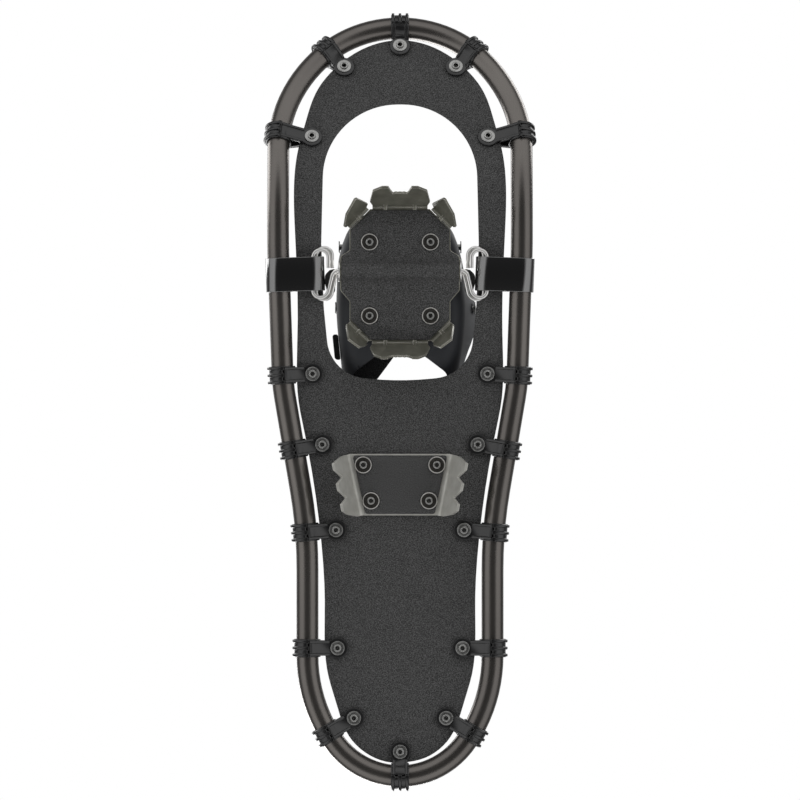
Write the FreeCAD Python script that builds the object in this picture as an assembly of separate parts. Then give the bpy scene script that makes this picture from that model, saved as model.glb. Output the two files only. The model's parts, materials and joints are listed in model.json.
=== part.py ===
"""One snowshoe, 25 inches long, standing on its crampon teeth as it does on hard snow.

Units are millimetres. +Y points to the toe, +X to the walker's right and +Z up. The origin is on the
ground, in the middle of the overall box. Places along the shoe are counted from the toe and tail ends
of the tube or from the pivot axle, so each group of pieces moves with the size that it belongs to.
"""

import FreeCAD, Part
import math
import os

from FreeCAD import Placement, Rotation, Vector

# ---------------------------------------------------------------- driving dimensions

# frame tube
LENGTH = 635.0             # over the tube, toe to tail, seen from above
TUBE_OD = 18.0
TUBE_WALL = 1.2
TOE_HALF_WIDTH = 100.0     # tube centreline to the middle, at the toe
HIP_HALF_WIDTH = 96.0      # where the sides start to run in
TAIL_HALF_WIDTH = 75.9
TOE_TILT = 28.0            # degrees, the upturned toe
TOE_BEND_R = 130.0         # radius of that bend, seen from the side
TOE_SIDE_R = 126.0         # the toe is an oval of three arcs
TOE_TIP_R = 88.6
TAIL_SIDE_R = 125.0        # the tail is an oval too
TAIL_TIP_R = 66.0
TAIL_GAP = 0.5             # the tube's two ends meet at the tail, under the tail clip
SPLICE_LENGTH = 52.0

# heights
DECK_Z = 32.0              # deck and tube mid-plane above the tooth tips
DECK_T = 1.6

# pivot
AXLE_FROM_TOE = 202.5      # from the tube's centreline at the toe, seen from above
WIRE_D = 3.2
WIRE_GAP = 0.1
SLEEVE_WALL = 1.1
SLEEVE_CLEAR = 0.15        # between the two wires and the sleeve round them
RUNNING = 0.05             # radial clearance of a turning fit
AXLE_DROP = 4.25           # axle below the deck's mid-plane
RING_CLEAR = 0.4           # between a wire ring's inner leg and the hinge strap inside the ring
RING_INSIDE = 1.3          # how far inside the strap's round end the ring's outer leg lies
RING_HALF_LENGTH = 12.5    # half the straight leg of a ring
RING_NEST = 2.7            # the upper wire's ring lies this much nearer to the middle
RING_GROW = 1.6            # and is this much longer at both ends
AXLE_WASHER_R = 9.0
AXLE_WASHER_T = 1.0
GUARD_T = 3.0              # moulded guard clipped over the wires beside the binding
GUARD_INNER = 53.2
GUARD_CLEAR = 0.2          # between a guard and the hinge strap
STRAP_W = 28.0
STRAP_T = 1.5
STRAP_CLEAR = 0.3
STRAP_REACH = 26.6         # between the two round ends of a hinge strap
STRAP_BACK = 3.5           # strap's middle behind the axle

# toe crampon
STEEL_T = 2.0
PAD_T = 1.2
PLATE_RISE = 0.4           # crampon's top face above the deck's mid-plane
PLATE_FRONT = 50.6         # from the axle
PLATE_REAR = 57.6
PLATE_HALF_WIDTH = 41.4
CHANNEL_HALF_WIDTH = 49.2
CHANNEL_FILLET = 14.0
TOOTH_BEND_R = 3.0         # inside
FRONT_TOOTH_ANGLE = 65.0   # degrees below flat
REAR_TOOTH_ANGLE = 70.0
HEEL_TOOTH_ANGLE = 68.0

# rivets
RIVET_R = 2.4
RIVET_WALL = 0.6
ROLL_R = 0.75              # of the edge that is rolled over the washer
RIVET_HEAD_R = 5.6
RIVET_HEAD_T = 1.2
CLIP_WASHER_R = 5.8
CRAMPON_WASHER_R = 7.0
WASHER_T = 1.0

# deck clips: share of the way from the tail's middle to the toe's, and reach from tube to rivet
CLIP_STATIONS = [
    ("tail", 0.0, 20.0),
    ("tail_corner", 0.0985, 24.2),
    ("rear", 0.1985, 24.6),
    ("waist", 0.329, 24.6),
    ("heel", 0.4235, 23.6),
    ("hip", 0.508, 24.6),
    ("shoulder", 0.785, 27.0),
    ("toe_corner", 0.909, 20.6),
    ("toe", 1.0, 18.6),
]
CLIP_W = 14.6
CLIP_WALL = 1.8
CLIP_BORE_CLEAR = 0.05
CLIP_RIB_H = 1.6
CLIP_RIB_W = 2.2
CLIP_RIB_PITCH = 5.8
CLIP_ARM_W = 12.4
CLIP_ARM_T = 2.2
CLIP_RAIL_W = 2.0
CLIP_RAIL_H = 1.5
CLIP_BOSS_R = 8.4
CLIP_BOSS_T = 2.6

# deck
DECK_EDGE = [              # the same share, and how far in from the tube's centreline the edge is
    (0.0, 10.9), (0.04, 11.0), (0.08, 12.5), (0.13, 16.6), (0.165, 15.8), (0.2, 14.2),
    (0.25, 14.2), (0.3, 12.6), (0.35, 11.3), (0.4, 11.5), (0.44, 10.9), (0.478, 10.4),
    (0.55, 13.3), (0.66, 14.2), (0.73, 13.2), (0.76, 15.4), (0.81, 19.0), (0.86, 16.0),
    (0.905, 14.2), (0.95, 12.1), (1.0, 10.2),
]
OPENING_HALF_WIDTH = 62.0
OPENING_FRONT = 137.8      # from the axle
OPENING_REAR = 91.0

# heel crampon, from the axle
HEEL_FRONT = 150.2
HEEL_REAR = 200.6
HEEL_FRONT_HALF = 40.4
HEEL_REAR_HALF = 30.2
HEEL_BEND_R = 4.0
HEEL_REST_T = 3.0

# binding
CRADLE_T = 3.0
CRADLE_FLOOR_R = 16.0      # floor to wall
CRADLE_STATIONS = [        # from the axle, half width, rise of the floor, lean of the left wall
    (52.0, 30.0, 0.0, 2.0), (31.0, 43.5, 0.0, 2.0), (8.0, 50.2, 0.0, 3.0), (-12.0, 51.2, 0.0, 10.0),
    (-28.0, 51.6, 0.0, 19.0), (-45.0, 50.8, 0.0, 21.0), (-60.0, 49.4, 0.0, 19.0),
    (-80.0, 47.4, 6.0, 9.0), (-104.0, 46.0, 13.0, 2.0), (-140.0, 45.5, 22.0, 2.0),
]
CRADLE_STEP = 8.0          # between the sections that carry the cradle's curve from station to station
CRADLE_LEAN = 2.0          # how far the right wall leans out over its height
CRADLE_H = 64.0
FOOTBED_T = 3.0
FOOTBED_HALF_WIDTH = 34.0
WEB_W = 22.0
WEB_T = 2.0
TOE_STRAP_AT = 20.0        # from the axle
INSTEP_STRAP_AT = -30.0
TOE_STRAP_TOP = 70.0       # above the cradle's floor
INSTEP_STRAP_TOP = 86.0
HEEL_STRAP_BACK = 226.0    # from the axle
HEEL_STRAP_Z = 40.0        # middle of the heel strap above the cradle's floor
HEEL_STRAP_T = 2.6
HEEL_STRAP_W = 22.0
STRAP_HEAD_R = 5.0
GUIDE_FROM_AXLE = 62.5
GUIDE_L = 21.0
GUIDE_T = 4.6

# cam buckles
BUCKLE_L = 30.0
BUCKLE_W = 30.0
BUCKLE_T = 2.4
CHEEK_T = 2.6
CHEEK_H = 9.0
PIN_R = 1.5
LEVER_L = 24.0
CAM_R = 3.4
STRAP_SEAT = 0.3           # gap between a buckle and its strap

# ---------------------------------------------------------------- values worked out from them

TUBE_R = TUBE_OD / 2
TOE_Y = LENGTH / 2 - TUBE_R
TAIL_Y = -TOE_Y
TILT = math.radians(TOE_TILT)
AXLE_Y = TOE_Y - AXLE_FROM_TOE
AXLE_Z = DECK_Z - AXLE_DROP
WIRE_R = WIRE_D / 2
WIRE_STACK = WIRE_R + WIRE_GAP / 2
SLEEVE_ID = 2 * (WIRE_STACK + WIRE_R + SLEEVE_CLEAR)
SLEEVE_OD = SLEEVE_ID + 2 * SLEEVE_WALL
STRAP_END_R = TUBE_R + STRAP_CLEAR + STRAP_T
RING_R = (STRAP_END_R + WIRE_R + RING_CLEAR) / 2
PLATE_TOP = DECK_Z + PLATE_RISE
CRADLE_Z = PLATE_TOP
BED_Z = CRADLE_Z + CRADLE_T + FOOTBED_T
HEEL_TOP = DECK_Z - DECK_T / 2
HIP_Y = AXLE_Y - 93.7
WAIST_Y = AXLE_Y - 212.0

# the toe oval, in the plane of the tilted toe: how far its side arc starts from its tip
TOE_OVAL = TOE_TIP_R + math.sqrt((TOE_SIDE_R - TOE_TIP_R) ** 2 - (TOE_SIDE_R - TOE_HALF_WIDTH) ** 2)
BEND_END_Y = TOE_Y - TOE_OVAL * math.cos(TILT)
BEND_START_Y = BEND_END_Y - TOE_BEND_R * math.sin(TILT)
BEND_RISE = TOE_BEND_R * (1 - math.cos(TILT))

# the tail oval, the same way
TAIL_OVAL = TAIL_TIP_R + math.sqrt(
    (TAIL_SIDE_R - TAIL_TIP_R) ** 2 - (TAIL_SIDE_R - TAIL_HALF_WIDTH) ** 2
)

X, Y, Z = Vector(1, 0, 0), Vector(0, 1, 0), Vector(0, 0, 1)
PARTS = {}


# ---------------------------------------------------------------- small helpers

def keep(name, shape):
    """Files a finished node under its name."""
    PARTS[name] = shape


def fuse(shapes):
    """One solid out of several that touch or overlap."""
    joined = shapes[0].multiFuse(shapes[1:]) if len(shapes) > 1 else shapes[0]
    return joined.removeSplitter()


def group(shapes):
    """Separate solids that share a node."""
    return Part.makeCompound(shapes)


def mirrored(shape):
    """The same shape on the other side of the snowshoe."""
    return shape.mirror(Vector(0, 0, 0), X)


def both(shape):
    return [shape, mirrored(shape)]


def path_edges(points, closed=False):
    """Straight runs joined by tangent arcs. A point is (x, y) or (x, y, corner radius).

    A corner's arc is limited to what its two runs leave room for.
    """
    n = len(points)
    corners = []

    def room(p, other):
        shared = len(other) > 2 and other[2] > 0
        return (p - Vector(other[0], other[1], 0)).Length * (0.499 if shared else 0.999)

    for i, point in enumerate(points):
        p = Vector(point[0], point[1], 0)
        radius = point[2] if len(point) > 2 else 0.0
        ends = not closed and i in (0, n - 1)
        if radius <= 0 or ends:
            corners.append((p, p, p))
            continue
        q = Vector(*points[i - 1][:2], 0)
        r = Vector(*points[(i + 1) % n][:2], 0)
        a = (q - p).normalize()
        b = (r - p).normalize()
        half = a.getAngle(b) / 2
        before, after = points[i - 1], points[(i + 1) % n]
        reach = min(radius / math.tan(half), room(p, before), room(p, after))
        radius = reach * math.tan(half)
        middle = p + (a + b).normalize() * (radius / math.sin(half) - radius)
        corners.append((p + a * reach, middle, p + b * reach))
    edges = []
    for i in range(n if closed else n - 1):
        start = corners[i][2]
        stop = corners[(i + 1) % n][0]
        if (stop - start).Length > 1e-6:
            edges.append(Part.LineSegment(start, stop).toShape())
        first, middle, last = corners[(i + 1) % n]
        if (first - last).Length > 1e-6:
            edges.append(Part.Arc(first, middle, last).toShape())
    return edges


def outline(points):
    """A flat face with rounded corners, in the XY plane."""
    return Part.Face(Part.Wire(path_edges(points, closed=True)))


def whole(half):
    """A closed outline from its right half, which runs from the rear to the front."""
    left = [(-p[0], *p[1:]) for p in reversed(half) if p[0] > 1e-9]
    return list(half) + left


def slab(points, z0, z1):
    """An outline stood up between two heights."""
    face = outline(points)
    face.translate(Vector(0, 0, z0))
    return face.extrude(Vector(0, 0, z1 - z0))


def side_slab(points, x0, x1):
    """An outline given as (y, z), stood across the snowshoe between two values of x."""
    face = outline(points)
    face.Placement = Placement(Vector(x0, 0, 0), Rotation(Y, Z, X, "ZXY"))
    return face.extrude(Vector(x1 - x0, 0, 0))


def end_slab(points, y0, y1):
    """An outline given as (x, z), stood along the snowshoe between two values of y."""
    face = outline(points)
    face.Placement = Placement(Vector(0, y1, 0), Rotation(X, Z, -Y, "ZXY"))
    return face.extrude(Vector(0, y0 - y1, 0))


def cylinder(radius, start, axis, length):
    return Part.makeCylinder(radius, length, start, axis)


def ring(outer, inner, start, axis, length):
    return cylinder(outer, start, axis, length).cut(cylinder(inner, start, axis, length))


def box(x0, x1, y0, y1, z0, z1):
    return Part.makeBox(x1 - x0, y1 - y0, z1 - z0, Vector(x0, y0, z0))


def swept_disc(edges, radius, hole=0.0):
    """A round bar or tube along a path."""
    wire = Part.Wire(edges)
    start = edges[0].valueAt(edges[0].FirstParameter)
    along = edges[0].tangentAt(edges[0].FirstParameter)
    face = Part.Face(Part.Wire(Part.makeCircle(radius, start, along)))
    if hole:
        face = face.cut(Part.Face(Part.Wire(Part.makeCircle(hole, start, along)))).Faces[0]
    return wire.makePipe(face)


def swept_band(edges, width_dir, width, thickness):
    """A flat strap along a flat path; its width lies along width_dir, across the path."""
    wire = Part.Wire(edges)
    start = edges[0].valueAt(edges[0].FirstParameter)
    along = edges[0].tangentAt(edges[0].FirstParameter)
    across = width_dir * (width / 2)
    thick = along.cross(width_dir).normalize() * (thickness / 2)
    signs = [(1, 1), (1, -1), (-1, -1), (-1, 1)]
    corners = [start + across * s + thick * t for s, t in signs]
    face = Part.Face(Part.makePolygon(corners + corners[:1]))
    return wire.makePipe(face)


# ---------------------------------------------------------------- the sheet that tube and deck lie in

def lifted(x, s):
    """A point of the tilted toe: s is counted along the slope from the end of the bend."""
    return Vector(x, BEND_END_Y + s * math.cos(TILT), DECK_Z + BEND_RISE + s * math.sin(TILT))


def slope_at(y):
    """How far the sheet is tilted at that place, in radians."""
    if y <= BEND_START_Y:
        return 0.0
    if y >= BEND_END_Y:
        return TILT
    return math.asin((y - BEND_START_Y) / TOE_BEND_R)


def oval_edges(half_width, side_r, tip_r, length, start_angle=0.0):
    """A quarter of an end oval in XY: from its side, at the origin's height, to its tip."""
    side_x = half_width - side_r
    tip_y = length - tip_r
    meet = math.atan2(tip_y, -side_x)
    last = math.pi / 2 - start_angle

    def on_side(angle):
        return Vector(side_x + side_r * math.cos(angle), side_r * math.sin(angle), 0)

    def on_tip(angle):
        return Vector(tip_r * math.cos(angle), tip_y + tip_r * math.sin(angle), 0)

    return [
        Part.Arc(on_side(0), on_side(meet / 2), on_side(meet)).toShape(),
        Part.Arc(on_tip(meet), on_tip((meet + last) / 2), on_tip(last)).toShape(),
    ]


def tail_edges():
    """The tube's right half from the tail's middle to where its side begins, at z 0."""
    gap_angle = math.asin(TAIL_GAP / 2 / TAIL_TIP_R)
    edges = oval_edges(TAIL_HALF_WIDTH, TAIL_SIDE_R, TAIL_TIP_R, TAIL_OVAL, gap_angle)
    turned = []
    for edge in reversed(edges):
        points = [edge.valueAt(edge.getParameterByLength(edge.Length * f)) for f in (1, 0.5, 0)]
        points = [Vector(p.x, TAIL_Y + TAIL_OVAL - p.y, 0) for p in points]
        turned.append(Part.Arc(*points).toShape())
    return turned


def tube_half_path():
    """The tube's centreline from the middle of the tail to the middle of the toe, on the right."""
    flat = tail_edges() + path_edges([
        (TAIL_HALF_WIDTH, TAIL_Y + TAIL_OVAL),
        (TAIL_HALF_WIDTH, WAIST_Y, 390.0),
        (HIP_HALF_WIDTH, HIP_Y, 150.0),
        (TOE_HALF_WIDTH, BEND_START_Y - 21.0, 600.0),
        (TOE_HALF_WIDTH, BEND_START_Y),
    ])
    for edge in flat:
        edge.translate(Vector(0, 0, DECK_Z))
    half = TILT / 2
    bend_top = DECK_Z + TOE_BEND_R
    bend = Part.Arc(
        Vector(TOE_HALF_WIDTH, BEND_START_Y, DECK_Z),
        Vector(
            TOE_HALF_WIDTH,
            BEND_START_Y + TOE_BEND_R * math.sin(half),
            bend_top - TOE_BEND_R * math.cos(half),
        ),
        lifted(TOE_HALF_WIDTH, 0),
    ).toShape()
    tilt = Placement(lifted(0, 0), Rotation(X, TOE_TILT))
    oval = oval_edges(TOE_HALF_WIDTH, TOE_SIDE_R, TOE_TIP_R, TOE_OVAL)
    for edge in oval:
        edge.Placement = tilt
    return flat + [bend] + oval


HALF_PATH = tube_half_path()
HALF_LENGTH = sum(e.Length for e in HALF_PATH)


def tube_at(distance):
    """Where the tube's centreline is, that far from the tail's middle, and its direction there."""
    for edge in HALF_PATH:
        if distance <= edge.Length or edge is HALF_PATH[-1]:
            u = edge.getParameterByLength(min(distance, edge.Length))
            return edge.valueAt(u), edge.tangentAt(u)
        distance -= edge.Length
    raise ValueError("the tube has no edges")


def tube_at_y(y):
    """The same, at a place along the shoe."""
    low, high = 0.0, HALF_LENGTH
    for _ in range(50):
        middle = (low + high) / 2
        if tube_at(middle)[0].y < y:
            low = middle
        else:
            high = middle
    return tube_at(low)


def local_frame(point, along):
    """Places a piece made round the tube: its x points in over the deck, its z is the deck's normal."""
    slope = slope_at(point.y)
    normal = Vector(0, -math.sin(slope), math.cos(slope))
    inward = normal.cross(along).normalize()
    return Placement(point, Rotation(inward, normal.cross(inward), normal, "ZXY"))


# ---------------------------------------------------------------- frame tube and its splice

def tube_solid(radius, hole=0.0):
    half = swept_disc(HALF_PATH, radius, hole)
    return fuse(both(half))


def make_tube():
    keep("frame_tube", tube_solid(TUBE_R, TUBE_R - TUBE_WALL))
    sweep = math.degrees(SPLICE_LENGTH / TAIL_TIP_R)
    bore = TUBE_R - TUBE_WALL - 0.05
    splice = Part.makeTorus(TAIL_TIP_R, bore, Vector(0, 0, 0), Z, -180, 180, sweep)
    hollow = Part.makeTorus(TAIL_TIP_R, bore - TUBE_WALL, Vector(0, 0, 0), Z)
    splice = splice.cut(hollow)
    splice.rotate(Vector(0, 0, 0), Z, -90 - sweep / 2)
    splice.translate(Vector(0, TAIL_Y + TAIL_TIP_R, DECK_Z))
    keep("tail_splice", splice)


# ---------------------------------------------------------------- deck

def sheet_profile(z_low, z_high):
    """The deck's side view between two heights measured from its mid-plane, as one face."""
    far = BEND_END_Y + 2 * TOE_OVAL
    bend_top = DECK_Z + TOE_BEND_R

    def line_up(offset):
        radius = TOE_BEND_R - offset
        turned = Vector(0, BEND_START_Y + radius * math.sin(TILT), bend_top - radius * math.cos(TILT))
        middle = Vector(
            0,
            BEND_START_Y + radius * math.sin(TILT / 2),
            bend_top - radius * math.cos(TILT / 2),
        )
        first = Vector(0, 2 * TAIL_Y, DECK_Z + offset)
        start = Vector(0, BEND_START_Y, DECK_Z + offset)
        end = turned + Vector(0, math.cos(TILT), math.sin(TILT)) * (far - BEND_END_Y)
        return [first, start, middle, turned, end]

    low, high = line_up(z_low), line_up(z_high)
    edges = [
        Part.LineSegment(low[0], low[1]).toShape(),
        Part.Arc(low[1], low[2], low[3]).toShape(),
        Part.LineSegment(low[3], low[4]).toShape(),
        Part.LineSegment(low[4], high[4]).toShape(),
        Part.LineSegment(high[4], high[3]).toShape(),
        Part.Arc(high[3], high[2], high[1]).toShape(),
        Part.LineSegment(high[1], high[0]).toShape(),
        Part.LineSegment(high[0], low[0]).toShape(),
    ]
    return Part.Face(Part.Wire(edges))


def clip_frames():
    """Each clip's name, placement and reach. The two end clips stand in the middle."""
    found = []
    for name, share, reach in CLIP_STATIONS:
        point, along = tube_at(share * HALF_LENGTH)
        if share in (0.0, 1.0):
            point = Vector(0, point.y, point.z)
        found.append((name, local_frame(point, along), reach))
    return found


def heel_rivets():
    """The right-hand rivets of the heel crampon, as (x, y)."""
    front = AXLE_Y - HEEL_FRONT - 9.0
    rear = AXLE_Y - HEEL_REAR + 12.0
    return [(HEEL_FRONT_HALF - 10.2, front), (HEEL_REAR_HALF - 6.4, rear)]


def make_deck():
    right = []
    for share, inset in DECK_EDGE:
        point, along = tube_at(share * HALF_LENGTH)
        inward = Vector(-along.y, along.x, 0).normalize()
        right.append(Vector(point.x, point.y, 0) + inward * inset)
    right[0].x = right[-1].x = 0.0
    left = [Vector(-p.x, p.y, 0) for p in reversed(right[1:-1])]
    rim = Part.BSplineCurve()
    rim.interpolate(Points=right + left, PeriodicFlag=True)
    edge = Part.Face(Part.Wire(rim.toShape()))
    opening = whole([
        (0, AXLE_Y - OPENING_REAR, 250.0),
        (OPENING_HALF_WIDTH - 5.0, AXLE_Y - OPENING_REAR + 5.6, 36.0),
        (OPENING_HALF_WIDTH + 0.6, AXLE_Y - 30.0, 200.0),
        (OPENING_HALF_WIDTH + 2.6, AXLE_Y + 22.0),
        (OPENING_HALF_WIDTH, AXLE_Y + OPENING_FRONT, 61.5),
        (0, AXLE_Y + OPENING_FRONT),
    ])
    wide = 2 * TOE_HALF_WIDTH
    sheet = sheet_profile(-DECK_T / 2, DECK_T / 2)
    sheet.translate(Vector(-wide, 0, 0))
    sheet = sheet.extrude(Vector(2 * wide, 0, 0))
    tall = DECK_Z + 2 * TOE_OVAL
    deck = sheet.common(edge.extrude(Z * tall)).cut(slab(opening, 0, tall))
    holes = []
    for name, place, reach in clip_frames():
        hole = cylinder(RIVET_R, Vector(reach, 0, -5), Z, 10)
        hole.Placement = place.multiply(hole.Placement)
        holes += [hole] if name in ("tail", "toe") else both(hole)
    for x, y in heel_rivets():
        holes += both(cylinder(RIVET_R, Vector(x, y, DECK_Z - 5), Z, 10))
    keep("deck", deck.cut(holes))


# ---------------------------------------------------------------- deck clips and their rivets

def clip_arm(reach):
    """The lower arm of a clip: a ribbed strap from the tube down to the rivet boss."""
    sleeve_r = TUBE_R + CLIP_WALL
    deck_face = -DECK_T / 2
    foot = reach - CLIP_BOSS_R + 1.5
    start, stop = (1.0, -sleeve_r), (foot, deck_face - CLIP_BOSS_T)
    run = math.hypot(stop[0] - start[0], stop[1] - start[1])
    normal = ((stop[1] - start[1]) / run * -1, (stop[0] - start[0]) / run)

    def off(point, distance):
        return (point[0] + normal[0] * distance, point[1] + normal[1] * distance)

    def strip(low, high, y0, y1):
        points = [off(start, low), off(stop, low), off(stop, high), off(start, high)]
        return end_slab(points, y0, y1)

    half = CLIP_ARM_W / 2
    pieces = [strip(0, CLIP_ARM_T, -half, half)]
    for side in (-1, 1):
        inner, outer = side * (half - CLIP_RAIL_W), side * half
        pieces.append(strip(-CLIP_RAIL_H, 0.5, min(inner, outer), max(inner, outer)))
    boss_top = deck_face
    pieces.append(cylinder(CLIP_BOSS_R, Vector(reach, 0, boss_top - CLIP_BOSS_T), Z, CLIP_BOSS_T))
    bridge = box(foot - 3.0, reach, -half, half, boss_top - CLIP_BOSS_T, boss_top)
    pieces.append(bridge)
    below = box(-60, 60, -60, 60, deck_face, 60)
    return [p.cut(below) for p in pieces]


def clip_blank(reach):
    """A clip before it is bored for the tube, in its local frame."""
    sleeve_r = TUBE_R + CLIP_WALL
    start = Vector(0, -CLIP_W / 2, 0)
    pieces = [cylinder(sleeve_r, start, Y, CLIP_W)]
    outer_half = box(-40, 1.0, -20, 20, -40, 40)
    for i in (-1, 0, 1):
        at = Vector(0, i * CLIP_RIB_PITCH - CLIP_RIB_W / 2, 0)
        rib = cylinder(sleeve_r + CLIP_RIB_H, at, Y, CLIP_RIB_W)
        pieces.append(rib.common(outer_half))
    for z in (-1, 1):
        low, high = sorted((z * (TUBE_R + 1.0), z * (sleeve_r + CLIP_RAIL_H)))
        pieces.append(box(-0.2, 2.0, -CLIP_W / 2, CLIP_W / 2, low, high))
    lower = clip_arm(reach)
    upper = [p.mirror(Vector(0, 0, 0), Z) for p in lower]
    blank = fuse(pieces + lower + upper)
    return blank.cut(cylinder(RIVET_R, Vector(reach, 0, -20), Z, 40))


def rolled(head, shank, end, depth_to):
    """A tubular rivet's lower end: rolled outwards over its washer, and hollow up to its head."""
    roll = Part.makeTorus(RIVET_R + 0.1, ROLL_R, end - Z * ROLL_R, Z)
    sleeve = ring(RIVET_R, RIVET_R - RIVET_WALL, end - Z * ROLL_R, Z, ROLL_R)
    hollow = cylinder(RIVET_R - RIVET_WALL, end - Z * 3 * ROLL_R, Z, depth_to - end.z + 3 * ROLL_R - 1.0)
    return fuse([head, shank, roll, sleeve]).cut(hollow)


def clip_rivet(reach):
    """A tubular rivet: domed head above the clip, rolled edge over a washer below."""
    face = DECK_T / 2 + CLIP_BOSS_T
    head = Part.makeSphere(9.0, Vector(reach, 0, face + RIVET_HEAD_T + 0.6 - 9.0))
    head = head.common(cylinder(RIVET_HEAD_R, Vector(reach, 0, face), Z, 5))
    low = -face - WASHER_T
    shank = cylinder(RIVET_R, Vector(reach, 0, low), Z, face - low)
    return rolled(head, shank, Vector(reach, 0, low), face)


def washer(radius, x, y, z, thickness):
    return ring(radius, RIVET_R, Vector(x, y, z), Z, thickness)


def make_clips():
    bore = tube_solid(TUBE_R + CLIP_BORE_CLEAR)
    rivets, washers = [], []
    for name, place, reach in clip_frames():
        blank = clip_blank(reach)
        if name in ("tail", "toe"):
            tip_r = TAIL_TIP_R if name == "tail" else TOE_TIP_R
            blank = blank.cut(
                Part.makeTorus(tip_r, TUBE_R + CLIP_BORE_CLEAR, Vector(tip_r, 0, 0), Z)
            )
        rivet = clip_rivet(reach)
        plate = washer(CLIP_WASHER_R, reach, 0, -DECK_T / 2 - CLIP_BOSS_T - WASHER_T, WASHER_T)
        for piece in (blank, rivet, plate):
            piece.Placement = place.multiply(piece.Placement)
        middle = name in ("tail", "toe")
        if middle:
            keep("clip_" + name, blank)
        else:
            clip = blank.cut(bore)
            keep("clip_" + name + "_right", clip)
            keep("clip_" + name + "_left", mirrored(clip))
        rivets += [rivet] if middle else both(rivet)
        washers += [plate] if middle else both(plate)
    keep("clip_rivets", group(rivets))
    keep("clip_washers", group(washers))


# ---------------------------------------------------------------- hinge straps and axle

STRAP_END_X = tube_at_y(AXLE_Y - STRAP_BACK)[0].x - STRAP_REACH
RING_REACH = STRAP_END_X - RING_INSIDE - RING_R
GUARD_OUTER = STRAP_END_X - STRAP_END_R - GUARD_CLEAR


def make_hinge_straps():
    point, along = tube_at_y(AXLE_Y - STRAP_BACK)
    inner = STRAP_END_R - STRAP_T

    def racetrack(radius):
        ends = [(STRAP_REACH + radius, radius), (-radius, radius)]
        ends += [(-radius, -radius), (STRAP_REACH + radius, -radius)]
        return [(x, z, radius) for x, z in ends]

    loop = end_slab(racetrack(inner + STRAP_T), -STRAP_W / 2, STRAP_W / 2)
    loop = loop.cut(end_slab(racetrack(inner), -STRAP_W / 2, STRAP_W / 2))
    loop.Placement = local_frame(point, along).multiply(loop.Placement)
    keep("hinge_strap_right", loop)
    keep("hinge_strap_left", mirrored(loop))


def ring_wire(inset, grow, z):
    """One axle wire: an open ring at each end, and a straight axle between them."""
    outer = RING_REACH + RING_R - inset
    inner = RING_REACH - RING_R - inset
    top = RING_HALF_LENGTH + RING_R - 1.8 + grow
    bottom = -RING_HALF_LENGTH - RING_R - 3.1 - grow
    right = [
        (inner, 2.2),
        (inner, top, RING_R),
        (outer, top, RING_R),
        (outer, bottom, RING_R),
        (inner + 1.3, bottom, 7.0),
        (inner - 3.8, 0, 5.6),
    ]
    left = [(-p[0], *p[1:]) for p in reversed(right)]
    edges = path_edges(right + left)
    wire = swept_disc(edges, WIRE_R)
    wire.translate(Vector(0, AXLE_Y, z))
    return wire


def make_axle():
    upper = ring_wire(RING_NEST, RING_GROW, AXLE_Z + WIRE_STACK)
    keep("axle_wire_lower", ring_wire(0.0, 0.0, AXLE_Z - WIRE_STACK))
    keep("axle_wire_upper", upper)
    washer_x = CHANNEL_HALF_WIDTH + 0.2
    half = washer_x + AXLE_WASHER_T
    start = Vector(-half, AXLE_Y, AXLE_Z)
    keep("axle_sleeve", ring(SLEEVE_OD / 2, SLEEVE_ID / 2, start, X, 2 * half))
    disc = ring(AXLE_WASHER_R, SLEEVE_OD / 2, Vector(washer_x, AXLE_Y, AXLE_Z), X, AXLE_WASHER_T)
    keep("axle_washers", group(both(disc)))
    front, rear = AXLE_Y + 1.6, AXLE_Y - 18.6
    low = AXLE_Z + WIRE_STACK
    guard = slab([
        (GUARD_INNER, rear, 3.0), (GUARD_OUTER - 2.4, rear, 4.0), (GUARD_OUTER, rear + 8.0, 8.0),
        (GUARD_OUTER, front - 5.0, 5.0), (GUARD_OUTER - 4.0, front - 1.0, 3.0), (GUARD_INNER, front, 1.0),
    ], low, low + WIRE_R + GUARD_T).cut(upper)
    keep("wire_guard_right", guard)
    keep("wire_guard_left", mirrored(guard))


# ---------------------------------------------------------------- toe crampon

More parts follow.
